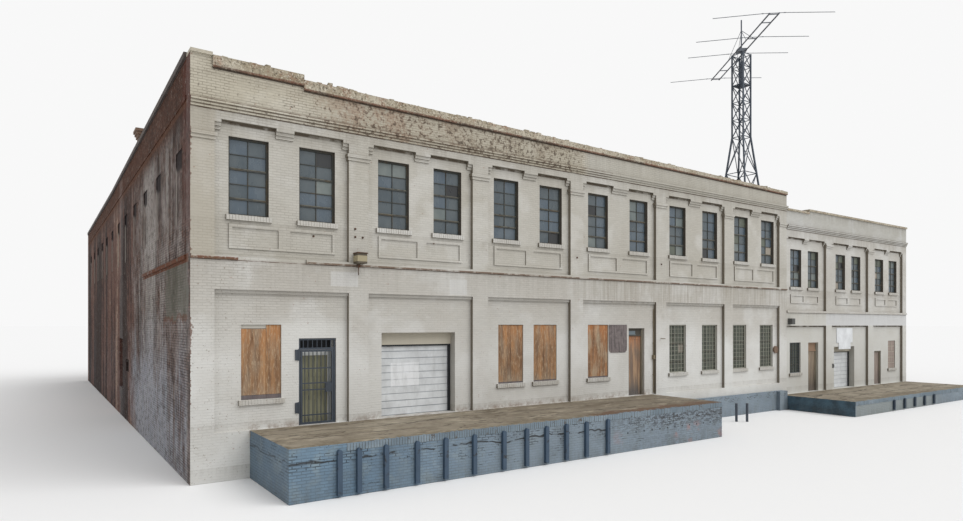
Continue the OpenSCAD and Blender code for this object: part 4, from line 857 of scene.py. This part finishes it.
old_wood("store_wood", (182, 150, 118), (134, 108, 88), (98, 92, 88), MAIN_FLOOR + 0.1,
    MAIN_FLOOR + 1, 0.12, (MAIN_FLOOR + 1.6, MAIN_FLOOR + 2.1, (190, 124, 76)))
old_wood("annex_wood", (160, 144, 124), (130, 114, 98), (102, 92, 82), ANNEX_FLOOR + 0.2,
    ANNEX_FLOOR + 1.3, 0.13)
old_wood("tan_wood", (158, 144, 134), (138, 124, 116), (128, 116, 110), ANNEX_FLOOR,
    ANNEX_FLOOR + 0.8, greyed=0.3)
old_wood("red_wood", (92, 44, 36), (66, 34, 30), (66, 48, 44), MAIN_FLOOR, MAIN_FLOOR + 0.6, 0.2)
worn_metal("door_white", (212, 215, 217), (176, 172, 162), 0.72, 0.4, extra=door_extra)
worn_metal("sign_white", (222, 225, 228), (190, 184, 174), 0.8, 0.35)
worn_metal("bumper_steel", (56, 75, 94), (50, 52, 54), 0.58, 0.55, extra=bumper_extra)
worn_metal("rubber", (28, 32, 36), (56, 58, 60), 0.7, 0.7)
worn_metal("rust_metal", (78, 62, 50), (96, 66, 48), 0.48, 0.8)
worn_metal("lamp_metal", (122, 110, 88), (84, 66, 50), 0.60, 0.6, extra=lamp_extra)
worn_metal("mast_steel", (76, 84, 94), (84, 74, 68), 0.62, 0.55, 0.3, 9)
worn_metal("aerial_metal", (104, 108, 114), (84, 86, 90), 0.6, 0.4, 0.7, 9)
old_glass("glass_slate", (70, 80, 86), (102, 108, 108), 0.5, 0.2)
old_glass("glass_blue", (74, 87, 98), (108, 116, 120), 0.5, 0.15)
old_glass("glass_dusty", (92, 102, 102), (140, 144, 138), 0.6, 0.3)
old_glass("glass_void", (36, 38, 40), (58, 60, 60), 0.3, 0.25)
old_glass("glass_green", (82, 88, 78), (108, 112, 98), 0.6, 0.4)
old_glass("pane_paper", (168, 162, 150), (128, 116, 104), 0.8, 0.6)

for finish, names in (
    ("front_paint", "front_foundation annex_foundation front_wall_ground annex_wall_ground walls_over_doors"),
    ("upper_paint", "front_wall_upper"), ("annex_upper_paint", "annex_wall_upper"),
    ("parapet_paint", "front_parapet"), ("annex_parapet_paint", "annex_parapet_wall"),
    ("coping_cap", "front_copings"), ("side_brick", "side_wall"), ("side_cap", "side_copings"),
    ("rear_brick", "rear_wall annex_rear_wall party_wall end_wall"), ("chimney_brick", "chimney"),
    ("concrete", "ground_floors dock_decks"), ("timber_floor", "upper_floors"), ("roof_felt", "roofs"),
    ("sash_steel", "window_sashes"), ("glass_slate", "window_glass"), ("guard_steel", "window_guards"),
    ("backing", "window_boards"), ("frame_wood", "door_posts"), ("head_wood", "door_heads"),
    ("gate_steel", "gate_posts gate_grille security_gate"), ("olive_wood", "entry_door"),
    ("door_white", "overhead_doors"), ("store_wood", "store_door"), ("annex_wood", "annex_wood_door"),
    ("tan_wood", "annex_narrow_door"), ("red_wood", "side_door"),
    ("dock_paint", "dock_fronts dock_ends foundation_ledge"), ("bumper_steel", "dock_bumpers"),
    ("lamp_metal", "wall_fittings"), ("sign_white", "blank_sign"),
    ("mast_steel", "mast_lattice mast_platform rotor_mast boom_stays"),
    ("aerial_metal", "aerial_booms aerial_elements"),
):
    for name in names.split():
        nodes[name].data.materials.clear()
        nodes[name].data.materials.append(LOOKS[finish])


# Windows: a grid of panes and bars in each steel frame
BAR_W = 0.020
THICK_BAR_W = 0.042
BAR_OUT = 0.022
PANE_T = 0.006
PANE_GAP = 0.004
PANE_TILT = 0.006


def window_axes(low, high):
    """Whether a window runs along x or y, and the way that points outdoors."""
    size = high - low
    if size.x > size.y:
        outward = -1 if (low.y - CORNER.y) < DEPTH / 2 else 1
        return 0, 1, outward
    return 1, 0, 1


def grid_lines(low, high, count):
    """The places of the lines that part a length into equal shares, with both ends."""
    return [low + (high - low) * i / count for i in range(count + 1)]


def add_pane(bm, along, low, high, tilt, material_index):
    """One pane, turned a little as old putty leaves it."""
    start = len(bm.faces)
    made = add_box(bm, low, high)
    turn = Matrix.Rotation(tilt[0], 3, "Z") @ Matrix.Rotation(tilt[1], 3, "XY"[along])
    bmesh.ops.rotate(bm, cent=(low + high) / 2, matrix=turn, verts=made)
    bm.faces.ensure_lookup_table()
    for face in bm.faces[start:]:
        face.material_index = material_index


def build_windows():
    """Bars, their dirty ledges and the panes. The main block's right half has duller and broken panes."""
    rng = random.Random(11)
    bars = bmesh.new()
    ledges = bmesh.new()
    panes = bmesh.new()
    for low, high in solids("window_glass"):
        along, across, outward = window_axes(low, high)
        barred = low.y < CORNER.y + 1 and low.z < MAIN_FLOOR + 1.5
        far = low.x > CORNER.x + 17.0
        mix = (46, 22, 10, 5, 12, 5) if far else (56, 30, 10, 4, 0, 0)
        columns = 3 if barred else 2
        rows = 5 if high.z - low.z > 1.5 else 4
        xs = grid_lines(low[along], high[along], columns)
        zs = grid_lines(low.z, high.z, rows)
        thick_rows = rng.choice(((rows - 4, rows - 2), (1, rows - 2), (rows - 4, rows - 3)))
        middle = (low[across] + high[across]) / 2
        front = middle + outward * (PANE_T / 2 + BAR_OUT)
        back = middle - outward * (PANE_T / 2 + BAR_OUT * 0.5)

        def strip(bm, near, far, start, end, foot, top, bevel=0.003):
            a = [0, 0, foot]
            b = [0, 0, top]
            a[along], b[along] = start, end
            a[across], b[across] = sorted((near, far))
            add_box(bm, a, b, bevel)

        for x in xs[1:-1]:
            strip(bars, front, back, x - BAR_W / 2, x + BAR_W / 2, low.z, high.z)
        for i, z in enumerate(zs[1:-1], 1):
            thick = i in thick_rows
            half = (THICK_BAR_W if thick else BAR_W) / 2
            out = outward * (0.012 if thick else 0.0)
            strip(bars, front + out, back, low[along], high[along], z - half, z + half)
            if thick:
                strip(ledges, front + out + outward * 0.005, front, low[along], high[along],
                      z + half - 0.004, z + half + 0.010, 0.002)
        for i in range(columns):
            for j in range(rows):
                a = [0, 0, zs[j] + PANE_GAP]
                b = [0, 0, zs[j + 1] - PANE_GAP]
                a[along], b[along] = xs[i] + PANE_GAP, xs[i + 1] - PANE_GAP
                a[across], b[across] = middle - PANE_T / 2, middle + PANE_T / 2
                tilt = (rng.uniform(-PANE_TILT, PANE_TILT), rng.uniform(-PANE_TILT, PANE_TILT))
                kind = rng.choices(range(6), (0, 0, 0, 0, 96, 4) if barred else mix)[0]
                add_pane(panes, along, Vector(a), Vector(b), tilt, kind)
    new_piece("window_bars", bars, "sash_steel")
    new_piece("window_bar_ledges", ledges, "tan_steel")
    kinds = "glass_slate glass_blue glass_dusty glass_void glass_green pane_paper"
    glass = new_piece("window_panes", panes, kinds)
    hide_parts("window_glass")


SILL_H = 0.13
SILL_SIDE = 0.07
SILL_BRICK = 0.075


def boarded_windows():
    return [pair for pair in solids("window_boards") if pair[0].y > CORNER.y + RECESS + 0.02]


def build_sills():
    """Sills of bricks on edge under the front windows."""
    bm = bmesh.new()
    rng = random.Random(5)
    frames = [pair for pair in solids("window_sashes") if pair[0].y < CORNER.y + 1]
    for low, high in frames + boarded_windows():
        left = low.x - SILL_SIDE
        right = high.x + SILL_SIDE
        count = round((right - left) / SILL_BRICK)
        step = (right - left) / count
        for i in range(count):
            dip = rng.uniform(0.0, 0.006)
            out = RECESS - 0.064 - rng.uniform(0.0, 0.006)
            add_box(bm, (left + step * i + 0.003, CORNER.y + out, low.z - SILL_H + 0.001),
                    (left + step * (i + 1) - 0.003, CORNER.y + RECESS + 0.05, low.z + 0.004 - dip), 0.004)
    new_piece("brick_sills", bm, "sill_paint")


def build_sheets():
    """Sheets over the boarded windows, each in two widths with a damp foot, and the end window's slats."""
    rng = random.Random(3)
    warm = bmesh.new()
    pale = bmesh.new()
    damp = bmesh.new()
    boards = boarded_windows()
    main = [pair for pair in boards if pair[0].x < CORNER.x + MAIN_LEN]
    for index, (low, high) in enumerate(main):
        split = low.x + (high.x - low.x) * (0.62, 0.5, 0.46, 0.6)[index]
        steps = (0.10, 0.0) if index == 0 else (0.0, 0.012)
        foot = 0.11 if index == 0 else 0.05
        front = low.y - 0.022
        for left, right, drop in ((low.x, split, steps[0]), (split, high.x, steps[1])):
            bm = pale if index == 3 else warm
            lean = rng.uniform(0.0, 0.006)
            add_box(bm, (left + 0.003, front + lean, low.z + foot),
                    (right - 0.003, low.y - 0.002, high.z - drop - 0.006), 0.003)
            add_box(damp, (left + 0.002, front - 0.004, low.z + 0.004),
                    (right - 0.002, low.y - 0.002, low.z + foot - 0.003), 0.003)
    new_piece("board_sheets", warm, "plywood")
    new_piece("bleached_sheets", pale, "bleached_ply")
    new_piece("board_feet", damp, "damp_wood")
    slats = bmesh.new()
    low, high = boards[-1]
    step = (high.z - low.z) / 5
    for k in range(5):
        foot = low.z + 0.02 + step * k
        add_box(slats, (low.x + 0.03, low.y - 0.02, foot),
                (high.x - 0.03, low.y - 0.002, foot + step - 0.035), 0.004)
    new_piece("end_window_slats", slats, "tan_wood")


CAP_H = 0.17
CAP_BRICK = 0.072


def add_cap_row(bm, rng, start, end, outward, floor):
    """A row of upright bricks between two places on an edge, standing out by a finger's width."""
    run = end - start
    count = round(run.length / CAP_BRICK)
    for i in range(count):
        a = start + run * (i / count)
        b = start + run * ((i + 1) / count)
        gap = run.normalized() * 0.002
        out = outward * (0.010 + rng.uniform(0.0, 0.008))
        top = floor + rng.uniform(-0.012, 0.004)
        corners = [a + gap + out, b - gap + out, a + gap - outward * 0.10, b - gap - outward * 0.10]
        xs = [p.x for p in corners]
        ys = [p.y for p in corners]
        foot = floor - CAP_H + rng.uniform(-0.008, 0.004)
        add_box(bm, (min(xs), min(ys), foot), (max(xs), max(ys), top), 0.006)


def build_dock_caps():
    """Courses of bricks on end along the front edges of the docks."""
    rng = random.Random(21)
    bm = bmesh.new()
    for start, end, depth, floor in ((DOCK_X + 1.3, DOCK_END, DOCK_DEPTH, MAIN_FLOOR),
                                     (ANNEX_DOCK_X, FRONT_LEN - 0.02, ANNEX_DOCK_DEPTH, ANNEX_FLOOR)):
        add_cap_row(bm, rng, at(start, -depth, 0), at(end, -depth, 0), Vector((0, -1, 0)), floor)
    new_piece("dock_cap_bricks", bm, "cap_paint")


def build_weep_holes():
    """Weep holes in the right end of the main dock."""
    bm = bmesh.new()
    for k in range(12):
        x = DOCK_END - 4.6 + 0.36 * k
        add_tube(bm, at(x, -DOCK_DEPTH - 0.004, 0.56), at(x, -DOCK_DEPTH + 0.05, 0.56), 0.026)
    new_piece("weep_holes", bm, "rubber")


def build_coping_rubble():
    """Loose bricks and lumps of mortar along the front coping."""
    rng = random.Random(8)
    bricks = bmesh.new()
    for low, high in solids("front_copings"):
        if high.x > CORNER.x + MAIN_LEN + 0.1 or high.x - low.x < 1.0:
            continue
        fall = 0.29 if high.x - low.x > 5 else 0.0
        x = low.x + 0.1
        while x < high.x - 0.3:
            share = (x - low.x) / (high.x - low.x)
            top = high.z - fall * share
            size = Vector((rng.uniform(0.05, 0.20), rng.uniform(0.09, 0.14), rng.uniform(0.04, 0.12)))
            y = low.y + rng.uniform(0.01, 0.16)
            sink = rng.uniform(0.3, 0.6) * size.z
            made = add_box(bricks, (x, y, top - sink), (x + size.x, y + size.y, top - sink + size.z), 0.008)
            spin = Matrix.Rotation(rng.uniform(-0.2, 0.2), 3, "Z")
            turn = spin @ Matrix.Rotation(rng.uniform(-0.1, 0.1), 3, "X")
            bmesh.ops.rotate(bricks, cent=(x + size.x / 2, y + size.y / 2, top), matrix=turn, verts=made)
            x += size.x + rng.uniform(-0.02, 0.22)
    new_piece("coping_rubble", bricks, "coping_cap")


CONDUIT_PIER = 16.425


def build_fittings():
    """The gate's hinge plates, ledge posts, a lamp hood, door tracks, wall anchors and a conduit."""
    steel = bmesh.new()
    hinge_y = RECESS - 0.03
    for z in (1.64, 3.02):
        add_box(steel, at(GATE_X - 0.105, hinge_y, z - 0.14), at(GATE_X - 0.004, RECESS, z + 0.14), 0.006)
        add_tube(steel, at(GATE_X - 0.02, hinge_y, z - 0.15), at(GATE_X - 0.02, hinge_y, z + 0.15), 0.016)
    new_piece("gate_wall_plates", steel, "gate_steel")
    posts = bmesh.new()
    for x, y in ((19.72, -1.20), (20.06, -1.44)):
        add_tube(posts, at(x, y, 0.0), at(x, y, 0.72), 0.05, 16)
    new_piece("ledge_posts", posts, "gate_steel")
    hood = bmesh.new()
    low, high = [pair for pair in solids("wall_fittings") if pair[0].z > MAIN_BELT - 0.1][0]
    add_box(hood, (low.x - 0.02, low.y - 0.03, high.z - 0.01), (high.x + 0.02, high.y, high.z + 0.02), 0.008)
    add_box(hood, (low.x + 0.09, high.y - 0.03, low.z - 0.09), (high.x - 0.09, high.y, low.z + 0.02), 0.006)
    add_tube(hood, (low.x + 0.14, high.y - 0.02, low.z - 0.3), (low.x + 0.14, high.y - 0.02, low.z), 0.012)
    new_piece("lamp_hood", hood, "rust_metal")
    seal = bmesh.new()
    for left, right, floor, header, high, wide in (
        (DOOR_LEFT, DOOR_RIGHT, MAIN_FLOOR, DOOR_HEAD - 0.35, 0.05, 0.085),
        (ROLLER_LEFT, ROLLER_RIGHT, ANNEX_FLOOR, ANNEX_FLOOR + 2.08 - 0.26, 0.04, 0.08),
    ):
        foot = header - high
        add_box(seal, at(left + 0.01, 0.365, foot), at(right - 0.01, 0.425, header - 0.001), 0.006)
        add_box(seal, at(right - wide, 0.375, floor + 0.01), at(right - 0.012, 0.425, foot), 0.006)
    new_piece("door_tracks", seal, "rubber")
    anchors = bmesh.new()
    spots = [(6.72, RECESS, 6.22), (3.05, RECESS, 6.15), (4.18, 0, 6.2), (4.40, 0, 6.2), (4.18, 0, 6.42)]
    spots += [(x + 0.29, 0, MAIN_BELT + 0.62) for x in (12.07, CONDUIT_PIER)]
    for x, y, z in spots:
        add_tube(anchors, at(x, y + 0.01, z), at(x, y - 0.02, z), 0.03)
        add_tube(anchors, at(x, y - 0.015, z), at(x, y - 0.04, z), 0.013, 8)
    new_piece("wall_anchors", anchors, "rust_metal")
    pipe = bmesh.new()
    x = CONDUIT_PIER - 0.04
    add_tube(pipe, at(x, hinge_y, MAIN_FLOOR + 0.05), at(x, hinge_y, 4.4), 0.018)
    add_box(pipe, at(x - 0.06, RECESS - 0.09, 2.5), at(x + 0.04, RECESS, 2.66), 0.006)
    add_tube(pipe, at(x + 0.3, 0.0, 3.28), at(x + 0.3, -0.22, 3.28), 0.014)
    for z in (1.9, 3.1, 3.9):
        add_box(pipe, at(x - 0.035, RECESS - 0.055, z), at(x + 0.035, RECESS, z + 0.02), 0.003)
    new_piece("conduit", pipe, "lamp_metal")


build_windows()
build_sills()
build_sheets()
build_dock_caps()
build_weep_holes()
build_coping_rubble()
build_fittings()


# Stage, lights and camera
PAPER = 0.872


def build_stage():
    """A wide pale floor just under the building."""
    bm = bmesh.new()
    bmesh.ops.create_grid(bm, x_segments=1, y_segments=1, size=2500.0)
    mesh = bpy.data.meshes.new("floor")
    bm.to_mesh(mesh)
    bm.free()
    floor = bpy.data.objects.new("floor", mesh)
    floor.location.z = -0.002
    bpy.context.scene.collection.objects.link(floor)
    pale = Finish("pale_floor")
    pale.set("Base Color", (PAPER, PAPER, PAPER, 1.0))
    pale.set("Roughness", 1.0)
    pale.set("Specular IOR Level", 0.0)
    mesh.materials.append(LOOKS["pale_floor"])


def build_world():
    """A pale studio light, brighter where it is seen than where it shines."""
    world = bpy.data.worlds.new("studio")
    bpy.context.scene.world = world
    world.use_nodes = True
    tree = world.node_tree
    tree.nodes.clear()
    camera, glossy, through = [Value(tree.nodes.new("ShaderNodeLightPath").outputs[label]) for label in
                               ("Is Camera Ray", "Is Glossy Ray", "Is Transmission Ray")]
    level = (camera | glossy | through).between(0.72, 0.94)
    background = add_node(tree, "Background", {"Color": (1.0, 1.0, 1.0, 1.0), "Strength": level})
    set_input(add_node(tree, "OutputWorld").inputs[0], Value(background.outputs[0]))


def build_lamp(name, strength, angle, azimuth, height):
    """A soft lamp far away, azimuth degrees to the right of the front's own direction."""
    data = bpy.data.lights.new(name, "SUN")
    data.energy = strength
    data.angle = math.radians(angle)
    lamp = bpy.data.objects.new(name, data)
    bpy.context.scene.collection.objects.link(lamp)
    side = math.radians(azimuth)
    rise = math.radians(height)
    source = Vector((math.sin(side) * math.cos(rise), -math.cos(side) * math.cos(rise), math.sin(rise)))
    lamp.rotation_euler = source.to_track_quat("Z", "Y").to_euler()


def build_camera():
    """The photo's own view, fitted to the lines of the windows, sills and pilasters."""
    data = bpy.data.cameras.new("camera")
    data.sensor_width = 36.0
    data.lens = 24.27
    data.shift_y = 0.067
    data.clip_end = 4000.0
    camera = bpy.data.objects.new("camera", data)
    bpy.context.scene.collection.objects.link(camera)
    camera.location = at(-3.027, -16.549, 3.8)
    camera.rotation_euler = (math.radians(90), 0, -0.603)
    bpy.context.scene.camera = camera


build_stage()
build_world()
build_lamp("key", 1.45, 50, 35, 48)
build_camera()
bpy.context.scene.view_settings.view_transform = "Standard"
